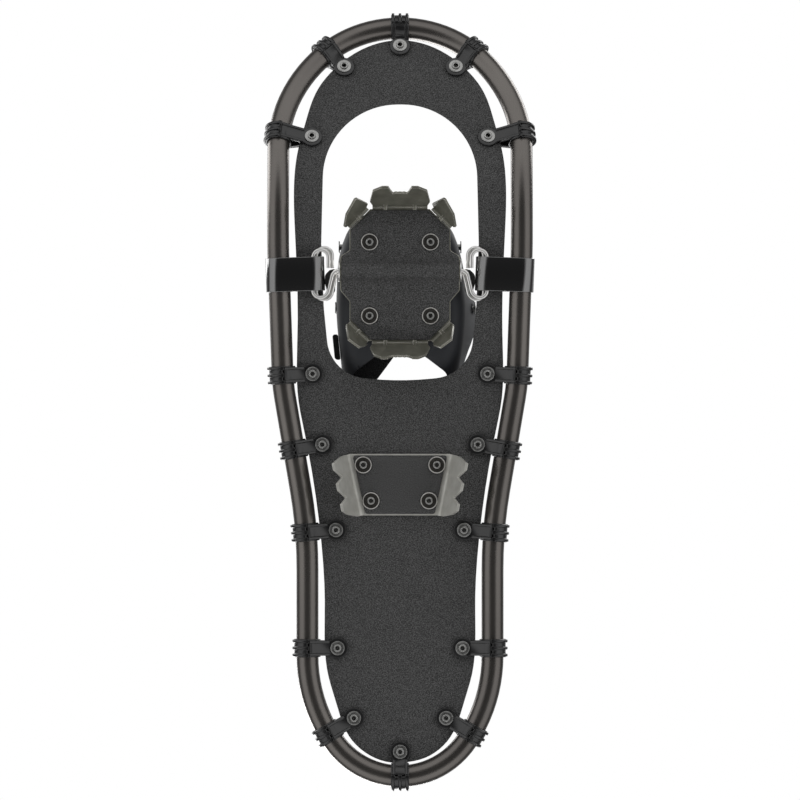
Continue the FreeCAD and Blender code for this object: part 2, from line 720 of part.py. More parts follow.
def channel_layer(d0, d1, front, rear, half_width):
    """The crampon plate or its pad, formed over the axle, between two depths under the top face."""
    seat = SLEEVE_OD / 2 + RUNNING
    reach = seat + CHANNEL_FILLET
    drop = PLATE_TOP - CHANNEL_FILLET - AXLE_Z
    side = math.sqrt(reach**2 - drop**2)
    lean = math.atan2(side, -drop)

    def surface(depth):
        flat_z = PLATE_TOP - depth
        centre_z = PLATE_TOP - CHANNEL_FILLET
        bend = CHANNEL_FILLET - depth
        hug = seat + depth

        def at(angle):
            return (hug * math.sin(angle), AXLE_Z - hug * math.cos(angle))

        half = lean / 2
        return {
            "flat": flat_z,
            "bend_mid": (side - bend * math.sin(half), centre_z + bend * math.cos(half)),
            "meet": at(lean),
            "bottom": (0.0, AXLE_Z - hug),
        }

    def edges(depth):
        s = surface(depth)

        def v(y, z):
            return Vector(0, AXLE_Y + y, z)

        meet_y, meet_z = s["meet"]
        mid_y, mid_z = s["bend_mid"]
        return [
            Part.LineSegment(v(-rear, s["flat"]), v(-side, s["flat"])).toShape(),
            Part.Arc(v(-side, s["flat"]), v(-mid_y, mid_z), v(-meet_y, meet_z)).toShape(),
            Part.Arc(v(-meet_y, meet_z), v(*s["bottom"]), v(meet_y, meet_z)).toShape(),
            Part.Arc(v(meet_y, meet_z), v(mid_y, mid_z), v(side, s["flat"])).toShape(),
            Part.LineSegment(v(side, s["flat"]), v(front, s["flat"])).toShape(),
        ]

    top, low = edges(d0), edges(d1)
    caps = []
    for y in (-rear, front):
        high = Vector(0, AXLE_Y + y, PLATE_TOP - d0)
        deep = Vector(0, AXLE_Y + y, PLATE_TOP - d1)
        caps.append(Part.LineSegment(high, deep).toShape())
    wire = Part.Wire(Part.__sortEdges__(top + low + caps))
    face = Part.Face(wire)
    face.translate(Vector(-half_width, 0, 0))
    return face.extrude(Vector(2 * half_width, 0, 0))


def tooth_flange(mid, turn, base_half, teeth, angle, bend_r, top, gussets):
    """A row of teeth bent down from a plate's edge.

    mid is the middle of the bend line, turn the direction that the flange faces, in degrees from +Y
    towards +X, teeth its outline below the bend as (across, down), and gussets the places of the
    dents that stiffen the bend.
    """
    t = STEEL_T
    axis_at = Vector(0, 0, -t - bend_r)
    strip = Part.makeBox(2 * base_half, 0.01, t, Vector(-base_half, 0, -t)).Faces
    start = [f for f in strip if abs(f.CenterOfMass.y) < 1e-6 and abs(f.normalAt(0, 0).y) > 0.9][0]
    bend = start.revolve(axis_at, X, -angle)
    panel = slab(teeth, -t, 0)
    panel.rotate(axis_at, X, -angle)
    pieces = [bend, panel]
    rad = math.radians(angle)
    for u in gussets:
        inner = bend_r
        y_low = inner * math.sin(rad) + 2.6 * math.cos(rad)
        z_low = -t - bend_r + inner * math.cos(rad) - 2.6 * math.sin(rad)
        web = side_slab([(-2.4, -t + 0.4), (0.6, -t + 0.4), (y_low + 0.3, z_low + 0.3),
                         (y_low, z_low)], u - 1.3, u + 1.3)
        pieces.append(web)
    flange = fuse(pieces)
    place = Placement(Vector(mid[0], mid[1], top), Rotation(Z, -turn))
    flange.Placement = place.multiply(flange.Placement)
    return flange


def toe_plate_outline(inset=0.0):
    """The flat plate's right half, from its rear to its front, counted from the axle."""
    front, rear = PLATE_FRONT - inset, PLATE_REAR - inset
    body, wide = PLATE_HALF_WIDTH - inset, CHANNEL_HALF_WIDTH - inset
    half = [
        (0, -rear),
        (body - 16.4, -rear),
        (body, -rear + 16.6),
        (body, -25.0, 3.0),
        (wide, -16.0, 4.0),
        (wide, 12.0, 4.0),
        (body, 16.5, 3.0),
        (body, front - 17.1 + inset),
        (body - 17.0, front),
        (0, front),
    ]
    return [(p[0], p[1] + AXLE_Y, *p[2:]) for p in half]


def toe_rivets():
    """The right-hand rivets of the toe crampon, as (x, y)."""
    return [(25.0, AXLE_Y + 23.6), (25.0, AXLE_Y - 37.0)]


def drilled(shape, spots):
    holes = []
    for x, y in spots:
        holes += both(cylinder(RIVET_R, Vector(x, y, 0), Z, 2 * DECK_Z))
    return shape.cut(holes)


def make_toe_crampon():
    plate = channel_layer(0, STEEL_T, PLATE_FRONT + 5, PLATE_REAR + 5, CHANNEL_HALF_WIDTH + 5)
    plate = plate.common(slab(whole(toe_plate_outline()), 0, 2 * DECK_Z))
    drop = PLATE_TOP + 3.0
    front_teeth = whole([
        (0, 22.4), (2.0, 22.0), (3.2, 22.8), (5.7, 21.2), (9.7, 32.4), (11.4, drop),
        (22.2, 25.8), (24.6, 6.4), (22.6, 0), (0, 0),
    ])
    rear_teeth = whole([
        (0, 26.6), (2.2, 25.6), (3.4, 27.2), (5.0, 25.8), (7.6, 27.4), (9.6, 29.6), (11.4, drop),
        (21.4, 23.5), (24.6, 6.4), (23.0, 0), (0, 0),
    ])
    front_corner = [(-12.2, 0), (-13.4, 2.5), (-5.2, 15.6), (8.6, 24.4), (10.4, 23.0), (13.8, 2.5),
                    (11.0, 0)]
    rear_corner = [(-11.2, 0), (-10.0, 4.0), (-1.0, 22.8), (10.0, 17.6), (12.6, 2.5), (11.0, 0)]
    body = PLATE_HALF_WIDTH
    front_mid = (body - 8.2, AXLE_Y + PLATE_FRONT - 8.3)
    rear_mid = (body - 8.2, AXLE_Y - PLATE_REAR + 8.3)
    pieces = [plate]
    pieces.append(tooth_flange((0, AXLE_Y + PLATE_FRONT), 0, 22.6, front_teeth,
                               FRONT_TOOTH_ANGLE, TOOTH_BEND_R, PLATE_TOP, [-12.0, 12.0]))
    pieces.append(tooth_flange((0, AXLE_Y - PLATE_REAR), 180, 23.0, rear_teeth,
                               REAR_TOOTH_ANGLE, TOOTH_BEND_R, PLATE_TOP, [-12.0, 12.0]))
    flipped = [(-u, w) for u, w in reversed(front_corner)]
    right = tooth_flange(front_mid, 45.0, 11.0, flipped,
                         FRONT_TOOTH_ANGLE, TOOTH_BEND_R, PLATE_TOP, [0.0])
    pieces += both(right)
    right = tooth_flange(rear_mid, 135.0, 11.0, rear_corner,
                         REAR_TOOTH_ANGLE, TOOTH_BEND_R, PLATE_TOP, [0.0])
    pieces += both(right)
    crampon = fuse(pieces)
    ground = box(-200, 200, -400, 400, -60, 0)
    crampon = drilled(crampon, toe_rivets()).cut(ground)
    keep("toe_crampon", crampon)
    bottom = STEEL_T + PAD_T
    pad = channel_layer(STEEL_T, bottom, PLATE_FRONT + 5, PLATE_REAR + 5, CHANNEL_HALF_WIDTH + 5)
    pad = pad.common(slab(whole(toe_plate_outline(1.0)), 0, 2 * DECK_Z))
    keep("toe_crampon_pad", drilled(pad, toe_rivets()).cut(crampon))


def crampon_rivet(x, y, top, low, head_r):
    """A tubular rivet with a flat head above and a rolled edge over its washer below."""
    head = cylinder(head_r, Vector(x, y, top), Z, RIVET_HEAD_T)
    shank = cylinder(RIVET_R, Vector(x, y, low), Z, top - low)
    return rolled(head, shank, Vector(x, y, low), top)


# ---------------------------------------------------------------- heel crampon

def make_heel_crampon():
    front, rear = AXLE_Y - HEEL_FRONT, AXLE_Y - HEEL_REAR
    length = math.hypot(HEEL_FRONT - HEEL_REAR, HEEL_FRONT_HALF - HEEL_REAR_HALF)
    lean = math.degrees(math.atan2(HEEL_FRONT_HALF - HEEL_REAR_HALF, HEEL_REAR - HEEL_FRONT))
    plate = slab(whole([(0, rear), (HEEL_REAR_HALF, rear), (HEEL_FRONT_HALF, front), (0, front)]),
                 HEEL_TOP - STEEL_T, HEEL_TOP)
    half = length / 2
    drop = HEEL_TOP + 3.0
    pitch = length / 3
    teeth = [(-half, 0)]
    for i in range(3):
        at = -half + i * pitch
        teeth += [(at + 0.6, 18.0 if i else 12.0), (at + 5.6, drop), (at + 8.4, drop - 1.5)]
        teeth += [(at + pitch - 0.4, 17.4), (at + pitch, 17.2)]
    teeth[-2:] = [(half - 3.5, 21.0)]
    teeth.append((half, 0))
    mid = ((HEEL_FRONT_HALF + HEEL_REAR_HALF) / 2, (front + rear) / 2)
    right = tooth_flange(mid, 90.0 + lean, half, teeth, HEEL_TOOTH_ANGLE, HEEL_BEND_R,
                         HEEL_TOP, [])
    crampon = fuse([plate] + both(right))
    ground = box(-200, 200, -400, 400, -60, 0)
    keep("heel_crampon", drilled(crampon, heel_rivets()).cut(ground))
    pad = slab(whole([
        (0, rear + 1.2), (HEEL_REAR_HALF - 1.8, rear + 1.2, 2.0),
        (HEEL_FRONT_HALF - 1.6, front - 1.2, 2.0), (0, front - 1.2),
    ]), HEEL_TOP - STEEL_T - PAD_T, HEEL_TOP - STEEL_T)
    keep("heel_crampon_pad", drilled(pad, heel_rivets()))


def make_heel_rest():
    """A pad on top of the deck for the boot's heel; its rivet heads lie in pockets."""
    top, low = AXLE_Y - HEEL_FRONT + 4.0, AXLE_Y - HEEL_REAR - 4.0
    rest = slab(whole([
        (0, low), (HEEL_REAR_HALF + 1.0, low, 9.0), (HEEL_FRONT_HALF - 1.0, top, 9.0), (0, top),
    ]), DECK_Z + DECK_T / 2, DECK_Z + DECK_T / 2 + HEEL_REST_T)
    pockets = []
    for x, y in heel_rivets():
        z = DECK_Z + DECK_T / 2 + HEEL_REST_T - RIVET_HEAD_T - 0.3
        pockets += both(cylinder(RIVET_HEAD_R + 0.5, Vector(x, y, z), Z, 10))
    keep("heel_rest", drilled(rest, heel_rivets()).cut(pockets))


def make_crampon_rivets():
    rivets, washers = [], []
    low = PLATE_TOP - STEEL_T - PAD_T
    for x, y in toe_rivets():
        rivets += both(crampon_rivet(x, y, CRADLE_Z + CRADLE_T, low - WASHER_T, RIVET_HEAD_R))
        washers += both(washer(CRAMPON_WASHER_R, x, y, low - WASHER_T, WASHER_T))
    keep("toe_rivets", group(rivets))
    keep("toe_washers", group(washers))
    rivets, washers = [], []
    low = HEEL_TOP - STEEL_T - PAD_T
    for x, y in heel_rivets():
        head = DECK_Z + DECK_T / 2 + HEEL_REST_T - RIVET_HEAD_T - 0.3
        rivets += both(crampon_rivet(x, y, head, low - WASHER_T, RIVET_HEAD_R))
        washers += both(washer(CRAMPON_WASHER_R, x, y, low - WASHER_T, WASHER_T))
    keep("heel_rivets", group(rivets))
    keep("heel_washers", group(washers))


# ---------------------------------------------------------------- binding

def cradle_sections():
    """The cradle's stations, with more between them on a smooth curve through all of them."""
    n = len(CRADLE_STATIONS)
    slopes = []
    for i in range(n):
        before, after = CRADLE_STATIONS[max(i - 1, 0)], CRADLE_STATIONS[min(i + 1, n - 1)]
        slopes.append([(a - b) / (after[0] - before[0]) for a, b in zip(after, before)])
    sections = []
    for i in range(n - 1):
        p, q = CRADLE_STATIONS[i], CRADLE_STATIONS[i + 1]
        run = q[0] - p[0]
        steps = max(1, round(abs(run) / CRADLE_STEP))
        for k in range(steps):
            t = k / steps
            sections.append([
                a * (1 + 2 * t) * (1 - t) ** 2 + b * t * t * (3 - 2 * t)
                + run * (da * t * (1 - t) ** 2 + db * t * t * (t - 1))
                for a, b, da, db in zip(p, q, slopes[i], slopes[i + 1])
            ])
    sections.append(list(CRADLE_STATIONS[-1]))
    return sections


def trough(inset):
    """The cradle's U section lofted from front to rear, shrunk by inset."""
    wires = []
    for y, half, rise, left_lean in cradle_sections():
        floor = max(rise, 0.0)
        w = half - inset
        low = CRADLE_Z + floor + inset
        high = CRADLE_Z + CRADLE_H + 40
        r = CRADLE_FLOOR_R - inset
        section = [(-w, low, r), (w, low, r), (w + CRADLE_LEAN, high), (-w - left_lean, high)]
        face = outline(section)
        face.Placement = Placement(Vector(0, AXLE_Y + y, 0), Rotation(X, Z, -Y, "ZXY"))
        wires.append(face.OuterWire)
    return Part.makeLoft(wires, True, True)


OUTER_TROUGH = trough(0.0)
INNER_TROUGH = trough(CRADLE_T)


def wall_x(y, z, side=1, solid=INNER_TROUGH):
    """How far out the cradle's wall is at that place: side 1 is the right wall, -1 the left."""
    across = Part.makeLine(Vector(0, y, z), Vector(side * 100, y, z)).common(solid).BoundBox
    return max(across.XMax, -across.XMin)


def make_cradle():
    floor = CRADLE_Z
    side = [
        (42.0, -1), (46.0, 9.0, 4.0), (41.0, 36.0, 10.0), (30.0, 47.0, 8.0), (11.0, 45.0, 9.0),
        (0.0, 33.0, 10.0), (-12.0, 61.0, 9.0), (-44.0, CRADLE_H, 9.0), (-62.0, 49.0, 14.0),
        (-100.0, 55.0, 20.0), (-130.0, 52.0, 9.0), (-132.0, 28.0, 9.0), (-112.0, 17.0, 24.0),
        (-84.0, 4.0, 10.0), (-66.0, -1),
    ]
    side = [(p[0] + AXLE_Y, p[1] + floor, *p[2:]) for p in side]
    shell = OUTER_TROUGH.cut(INNER_TROUGH)
    shell = shell.common(side_slab(side, -80, 80))
    arch = whole([
        (0, AXLE_Y - 145), (40.0, AXLE_Y - 145), (41.5, AXLE_Y - 102, 20.0),
        (38.5, AXLE_Y - 84, 10.0), (18.0, AXLE_Y - 68.5, 16.0), (0, AXLE_Y - 68.5),
    ])
    cradle = shell.cut(slab(arch, floor - 1, floor + CRADLE_H))
    toe_pins, strap_pins = strap_rivet_spots()
    holes = [cylinder(RIVET_R, Vector(-80, y, z), X, 160) for y, z in toe_pins]
    holes += [cylinder(RIVET_R, Vector(-80, y, z), X, 160) for y, z in strap_pins]
    cradle = drilled(cradle, toe_rivets()).cut(holes)
    half = FOOTBED_HALF_WIDTH
    bed = whole([
        (0, AXLE_Y - 57), (half - 4, AXLE_Y - 57, 14.0), (half, AXLE_Y - 20, 60.0),
        (half - 1.5, AXLE_Y + 6, 40.0), (half - 16, AXLE_Y + 39, 10.0), (0, AXLE_Y + 39),
    ])
    pad = slab(bed, CRADLE_Z + CRADLE_T, BED_Z)
    keep("binding_cradle", cradle)
    pockets = []
    for x, y in toe_rivets():
        pockets += both(cylinder(RIVET_HEAD_R + 0.6, Vector(x, y, CRADLE_Z), Z, 20))
    keep("footbed", pad.cut(pockets))


def strap_rivet_spots():
    """Rivets through the cradle's walls, as (y, z): for the two web straps, and the heel strap."""
    web = [(AXLE_Y + TOE_STRAP_AT, CRADLE_Z + 34.0), (AXLE_Y + INSTEP_STRAP_AT, CRADLE_Z + 46.0)]
    heel = [(AXLE_Y - 120.0, CRADLE_Z + HEEL_STRAP_Z)]
    return web, heel


def web_strap_leg(y, z_pin, top, side):
    """A web strap's leg inside one wall: its x at its low end, at its rivet and at its top."""
    low, high = z_pin - 14.0, CRADLE_Z + top - 22.0
    edges = (y - WEB_W / 2, y + WEB_W / 2)
    foot, pin = (min(wall_x(e, z, side) for e in edges) - WEB_T / 2 - 0.2 for z in (low, z_pin))
    return foot, pin, foot + (pin - foot) * (high - low) / (z_pin - low)


def web_strap_points(y, z_pin, top):
    """A web strap's path over the boot, as (x, height): up one wall, across, down the other."""
    low, rise = z_pin - 14.0, CRADLE_Z + top
    right, _, right_top = web_strap_leg(y, z_pin, top, 1)
    left, _, left_top = web_strap_leg(y, z_pin, top, -1)
    return [
        (-left, low), (-left_top, rise - 22.0, 26.0), (-16.0, rise, 60.0),
        (16.0, rise, 60.0), (right_top, rise - 22.0, 26.0), (right, low),
    ]


def web_strap(y, z_pin, top):
    edges = path_edges(web_strap_points(y, z_pin, top))
    place = Placement(Vector(0, y, 0), Rotation(X, Z, -Y, "ZXY"))
    for edge in edges:
        edge.Placement = place
    strap = swept_band(edges, Y, WEB_W, WEB_T)
    return strap.cut(cylinder(RIVET_R, Vector(-80, y, z_pin), X, 160))


def heel_strap_leg():
    """The heel strap's x where it starts and where it leaves the wall, as (x, y) points."""
    z = CRADLE_Z + HEEL_STRAP_Z
    points = []
    for back in (108.0, 128.0):
        walls = [wall_x(AXLE_Y - back, z + s * HEEL_STRAP_W / 2, side) for s in (-1, 1) for side in (-1, 1)]
        points.append((min(walls) - HEEL_STRAP_T / 2 - 0.5, AXLE_Y - back))
    return points


def heel_strap():
    z = CRADLE_Z + HEEL_STRAP_Z
    back = AXLE_Y - HEEL_STRAP_BACK
    (front, front_y), (foot, foot_y) = heel_strap_leg()
    edges = path_edges([
        (front, front_y), (foot, foot_y, 60.0), (38.0, back + 50.0, 60.0),
        (34.0, back, 31.0), (-34.0, back, 31.0), (-38.0, back + 50.0, 60.0),
        (-foot, foot_y, 60.0), (-front, front_y),
    ])
    for edge in edges:
        edge.translate(Vector(0, 0, z))
    strap = swept_band(edges, Z, HEEL_STRAP_W, HEEL_STRAP_T)
    return strap.cut(cylinder(RIVET_R, Vector(-80, AXLE_Y - 120.0, z), X, 160))


def strap_pin(y, z, side, strap_face):
    """A rivet through a wall and the strap inside it, whose inner face is at x strap_face."""
    around = [(y + a, z + b) for a in (-STRAP_HEAD_R, 0, STRAP_HEAD_R) for b in (-STRAP_HEAD_R, 0, STRAP_HEAD_R)]
    outer = max(wall_x(a, b, side, OUTER_TROUGH) for a, b in around) + 0.1
    tail_x = strap_face - 0.5
    shank = cylinder(RIVET_R, Vector(tail_x - 1.0, y, z), X, outer - tail_x + 1.0)
    head = cylinder(STRAP_HEAD_R, Vector(outer, y, z), X, 1.0)
    tail = cylinder(STRAP_HEAD_R - 1.0, Vector(tail_x - 1.0, y, z), X, 1.0)
    pin = fuse([shank, head, tail])
    return pin if side > 0 else mirrored(pin)


def make_straps():
    web, heel = strap_rivet_spots()
    pins = []
    for name, (y, z), top in (("toe", web[0], TOE_STRAP_TOP), ("instep", web[1], INSTEP_STRAP_TOP)):
        keep(name + "_strap", web_strap(y, z, top))
        for side in (1, -1):
            _, at_pin, _ = web_strap_leg(y, z, top, side)
            pins.append(strap_pin(y, z, side, at_pin - WEB_T / 2))
    keep("heel_strap", heel_strap())
    (front, front_y), (foot, foot_y) = heel_strap_leg()
    for y, z in heel:
        at_pin = front + (foot - front) * (front_y - y) / (front_y - foot_y)
        for side in (1, -1):
            pins.append(strap_pin(y, z, side, min(at_pin, foot) - HEEL_STRAP_T / 2))
    keep("strap_rivets", group(pins))
    end = wall_x(AXLE_Y - 96.0, CRADLE_Z + 24.0) - 0.2
    tail = outline([(1.5, -62.5, 2.0), (30.5, -97.0, 2.0), (end, -96.0, 2.0), (26.0, -62.5, 2.0)])
    tail = tail.extrude(Z * 1.8)
    tail.translate(Vector(0, AXLE_Y, CRADLE_Z + 24.0))
    keep("strap_tail", tail)
    y = AXLE_Y - GUIDE_FROM_AXLE
    low, high = CRADLE_Z + 18.0, CRADLE_Z + 42.0
    half = GUIDE_L / 2
    rear_x, front_x = (
        max(wall_x(e, z, 1, OUTER_TROUGH) for z in (low, high)) + 0.2 for e in (y - half, y + half)
    )
    guide = slab([
        (rear_x, y - half, 1.5), (rear_x + GUIDE_T, y - half, 3.0),
        (front_x + GUIDE_T, y + half, 3.0), (front_x, y + half, 1.5),
    ], low, high)
    keep("strap_guide", guide)


# ---------------------------------------------------------------- cam buckles

def buckle_pieces():
    """Frame, lever and pin, lying on a strap that runs along local x, seen from local +z."""
    half_l, half_w = BUCKLE_L / 2, BUCKLE_W / 2
    pin_x, pin_z = -half_l + 6.5, BUCKLE_T + CAM_R + 0.6
    base = slab([(-half_l, -half_w, 3.0), (half_l, -half_w, 3.0), (half_l, half_w, 3.0),
                 (-half_l, half_w, 3.0)], 0, BUCKLE_T)
    window = slab([(half_l - 10.0, -half_w + 4, 1.0), (half_l - 4.0, -half_w + 4, 1.0),
                   (half_l - 4.0, half_w - 4, 1.0), (half_l - 10.0, half_w - 4, 1.0)], -1, 9)
    pieces = [base.cut(window)]
    for side in (-1, 1):
        y0, y1 = sorted((side * half_w, side * (half_w - CHEEK_T)))
        cheek = [(-half_l + 0.5, 0.5), (-half_l + 14.0, 0.5), (-half_l + 11.0, CHEEK_H, 4.0),
                 (-half_l + 1.5, CHEEK_H, 4.0)]
        pieces.append(end_slab(cheek, y0, y1))
    pin_line = Vector(pin_x, -half_w - 0.6, pin_z)
    frame = fuse(pieces).cut(cylinder(PIN_R, pin_line, Y, BUCKLE_W + 1.2))
    pin = cylinder(PIN_R, pin_line, Y, BUCKLE_W + 1.2)
    lever_half = half_w - CHEEK_T - 0.4
    barrel = cylinder(CAM_R, Vector(pin_x, -lever_half, pin_z), Y, 2 * lever_half)
    z0 = pin_z - 0.6
    blade = slab([(pin_x, -lever_half, 0), (pin_x + LEVER_L, -lever_half + 1.5, 4.0),
                  (pin_x + LEVER_L, lever_half - 1.5, 4.0), (pin_x, lever_half, 0)], z0, z0 + 2.6)
    bore = cylinder(PIN_R + RUNNING, pin_line, Y, BUCKLE_W + 1.2)
    lever = fuse([barrel, blade]).cut(bore)
    return {"frame": frame, "lever": lever, "pin": pin}


def buckle_places():
    """Where each buckle sits: on top of the two web straps, and outside the heel strap's right."""
    web, _ = strap_rivet_spots()
    places = {}
    for name, (y, z_pin), top in (("toe", web[0], TOE_STRAP_TOP),
                                  ("instep", web[1], INSTEP_STRAP_TOP)):
        points = web_strap_points(y, z_pin, top)
        a, b = Vector(*points[3][:2], 0), Vector(*points[4][:2], 0)
        along = (b - a).normalize()
        normal = Vector(-along.y, along.x, 0)
        mid = a + (b - a) * 0.47 + normal * (WEB_T / 2 + STRAP_SEAT + 0.4)
        x_dir = Vector(along.x, 0, along.y)
        z_dir = Vector(normal.x, 0, normal.y)
        at = Vector(mid.x, y, mid.y)
        places[name] = Placement(at, Rotation(x_dir, z_dir.cross(x_dir), z_dir, "ZXY"))
    z = CRADLE_Z + HEEL_STRAP_Z
    _, (foot, foot_y) = heel_strap_leg()
    a = Vector(foot, foot_y, z)
    b = Vector(38.0, AXLE_Y - HEEL_STRAP_BACK + 50.0, z)
    along = (b - a).normalize()
    out = Vector(-along.y, along.x, 0)
    mid = (a + b) * 0.5 + out * (HEEL_STRAP_T / 2 + STRAP_SEAT)
    places["heel"] = Placement(mid, Rotation(along, out.cross(along), out, "ZXY"))
    return places


def make_buckles():
    for name, place in buckle_places().items():
        for kind, shape in buckle_pieces().items():
            shape.Placement = place.multiply(shape.Placement)
            keep("%s_buckle_%s" % (name, kind), shape)


# ---------------------------------------------------------------- build and write

def build():
    make_tube()
    make_deck()
    make_clips()
    make_hinge_straps()
    make_axle()
    make_toe_crampon()
    make_heel_crampon()
    make_heel_rest()
    make_crampon_rivets()
    make_cradle()
    make_straps()
    make_buckles()


def report():
    """Prints the places that the record states."""
    print("strap end", STRAP_END_X, "ring", RING_REACH, RING_R, "guard", GUARD_OUTER)
    print("axle", [0, AXLE_Y, AXLE_Z], "bed", [0, AXLE_Y, BED_Z])
    for name, place in buckle_places().items():
        pin = Vector(-BUCKLE_L / 2 + 6.5, 0, BUCKLE_T + CAM_R + 0.6)
        at = place.multVec(pin)
        axis = place.Rotation.multVec(Y)
        print(name, [round(c, 4) for c in at], [round(c, 5) for c in axis])
    low = [min(s.BoundBox.XMin for s in PARTS.values()), min(s.BoundBox.YMin for s in PARTS.values()),
           min(s.BoundBox.ZMin for s in PARTS.values())]
    high = [max(s.BoundBox.XMax for s in PARTS.values()), max(s.BoundBox.YMax for s in PARTS.values()),
            max(s.BoundBox.ZMax for s in PARTS.values())]
    print("box", [round(v, 2) for v in low], [round(v, 2) for v in high])
    for name, shape in PARTS.items():
        bad = "" if shape.isValid() and shape.Solids else "  BAD"
        print("%-24s %2d solids %9.0f mm3%s" % (name, len(shape.Solids), shape.Volume, bad))


build()
os.makedirs("parts", exist_ok=True)
for node, solid in PARTS.items():
    solid.exportStep("parts/" + node + ".step")
report()
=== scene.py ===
"""The looks of the snowshoe: finishes for its CAD pieces, and finer pieces for its soft goods."""

import json
import math
import bmesh
import bpy
from mathutils import Matrix, Vector

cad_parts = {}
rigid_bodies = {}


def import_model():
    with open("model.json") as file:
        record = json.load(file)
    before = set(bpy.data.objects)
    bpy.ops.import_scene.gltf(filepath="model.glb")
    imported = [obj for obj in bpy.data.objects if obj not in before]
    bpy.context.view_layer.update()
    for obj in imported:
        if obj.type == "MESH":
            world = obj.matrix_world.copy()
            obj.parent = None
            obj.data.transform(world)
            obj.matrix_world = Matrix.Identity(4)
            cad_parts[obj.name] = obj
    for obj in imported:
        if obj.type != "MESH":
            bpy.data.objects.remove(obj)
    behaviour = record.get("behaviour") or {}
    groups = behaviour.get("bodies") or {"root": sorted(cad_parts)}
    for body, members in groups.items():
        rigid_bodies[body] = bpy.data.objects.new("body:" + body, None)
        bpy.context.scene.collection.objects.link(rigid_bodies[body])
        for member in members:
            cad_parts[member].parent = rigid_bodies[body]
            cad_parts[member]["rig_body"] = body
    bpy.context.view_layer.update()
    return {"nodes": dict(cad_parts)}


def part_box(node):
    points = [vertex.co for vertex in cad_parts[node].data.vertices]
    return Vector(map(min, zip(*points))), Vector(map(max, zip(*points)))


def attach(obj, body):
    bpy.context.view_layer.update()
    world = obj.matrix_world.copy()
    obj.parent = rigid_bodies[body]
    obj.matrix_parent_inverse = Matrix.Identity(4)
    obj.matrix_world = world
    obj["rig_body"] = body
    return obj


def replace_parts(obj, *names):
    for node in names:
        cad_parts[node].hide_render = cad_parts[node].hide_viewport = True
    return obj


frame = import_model()
nodes = frame["nodes"]
mm = 0.001

# ---------------------------------------------------------------- camera, light and floor
# A long lens looks straight up at the underside, toe at the top. The studio is a light ring round
# a dark middle, so flat faces stay dark and each bend draws a light band; lamps above serve the
# other side. The floor shows only from above, so it never hides the underside.


def linear(hex_colour):
    """An sRGB hex colour as the linear RGBA that shaders take."""
    parts = [int(hex_colour[i:i + 2], 16) / 255 for i in (1, 3, 5)]
    return [c / 12.92 if c <= 0.04045 else ((c + 0.055) / 1.055) ** 2.4 for c in parts] + [1.0]


def add(tree, kind, inputs=None, **settings):
    """Adds a shader node. An input is a plain value, or another node's output to link."""
    made = tree.nodes.new("ShaderNode" + kind)
    for name, value in settings.items():
        setattr(made, name, value)
    for name, value in (inputs or {}).items():
        if isinstance(value, bpy.types.NodeSocket):
            tree.links.new(value, made.inputs[name])
        else:
            made.inputs[name].default_value = value
    return made


camera_data = bpy.data.cameras.new("camera")
camera_distance = 6.0
seen_width = 0.6563
camera_data.sensor_width = 36.0
camera_data.lens = 36.0 * (camera_distance + 0.032) / seen_width
camera_data.clip_end = 50.0
camera = bpy.data.objects.new("camera", camera_data)
camera.matrix_world = Matrix((
    (-1, 0, 0, 0),
    (0, 1, 0, 0),
    (0, 0, -1, -camera_distance),
    (0, 0, 0, 1),
))
bpy.context.scene.collection.objects.link(camera)
bpy.context.scene.camera = camera
bpy.context.scene.view_settings.view_transform = "Standard"

world = bpy.data.worlds.new("studio")
world.use_nodes = True
sky = world.node_tree
sky.nodes.clear()
seen = add(sky, "Background", {"Color": linear("#ffffff"), "Strength": 1.0})
heading = add(sky, "TexCoord")
split = add(sky, "SeparateXYZ", {0: heading.outputs["Generated"]})
height = add(sky, "MapRange", {0: split.outputs["Z"], 1: -1.0, 2: 1.0})
studio = add(sky, "ValToRGB", {"Fac": height.outputs[0]})
# brightness by height, from straight below (0) through level (0.5) to straight above (1)
bands = [(0.0, 0.035), (0.05, 0.05), (0.13, 0.95), (0.44, 0.85), (0.55, 0.28), (0.63, 0.06),
         (0.75, 0.08), (0.87, 0.38), (1.0, 0.38)]
for i, (at, level) in enumerate(bands):
    stops = studio.color_ramp.elements
    stop = stops[i] if i < 2 else stops.new(at)
    stop.position = at
    stop.color = (level, level, level, 1.0)
fill = add(sky, "Background", {"Color": studio.outputs[0], "Strength": 1.0})
path = add(sky, "LightPath")
either = add(sky, "MixShader",
             {0: path.outputs["Is Camera Ray"], 1: fill.outputs[0], 2: seen.outputs[0]})
add(sky, "OutputWorld", {"Surface": either.outputs[0]})
bpy.context.scene.world = world


def softbox(name, at, size, power, aim=(0, 0, 0.03)):
    """A rectangular lamp that faces a point."""
    data = bpy.data.lights.new(name, "AREA")
    data.shape = "RECTANGLE"
    data.size, data.size_y = size
    data.energy = power
    lamp = bpy.data.objects.new(name, data)
    turn = (Vector(aim) - Vector(at)).to_track_quat("-Z", "Y")
    lamp.matrix_world = Matrix.Translation(at) @ turn.to_matrix().to_4x4()
    lamp.visible_camera = False
    bpy.context.scene.collection.objects.link(lamp)


softbox("lamp_over", (0.5, -0.9, 1.6), (1.2, 1.0), 19.0)
softbox("lamp_over_left", (1.4, 0.5, 1.0), (0.6, 1.6), 9.0)
softbox("lamp_over_back", (-1.1, 0.9, 1.3), (1.0, 1.0), 10.0)

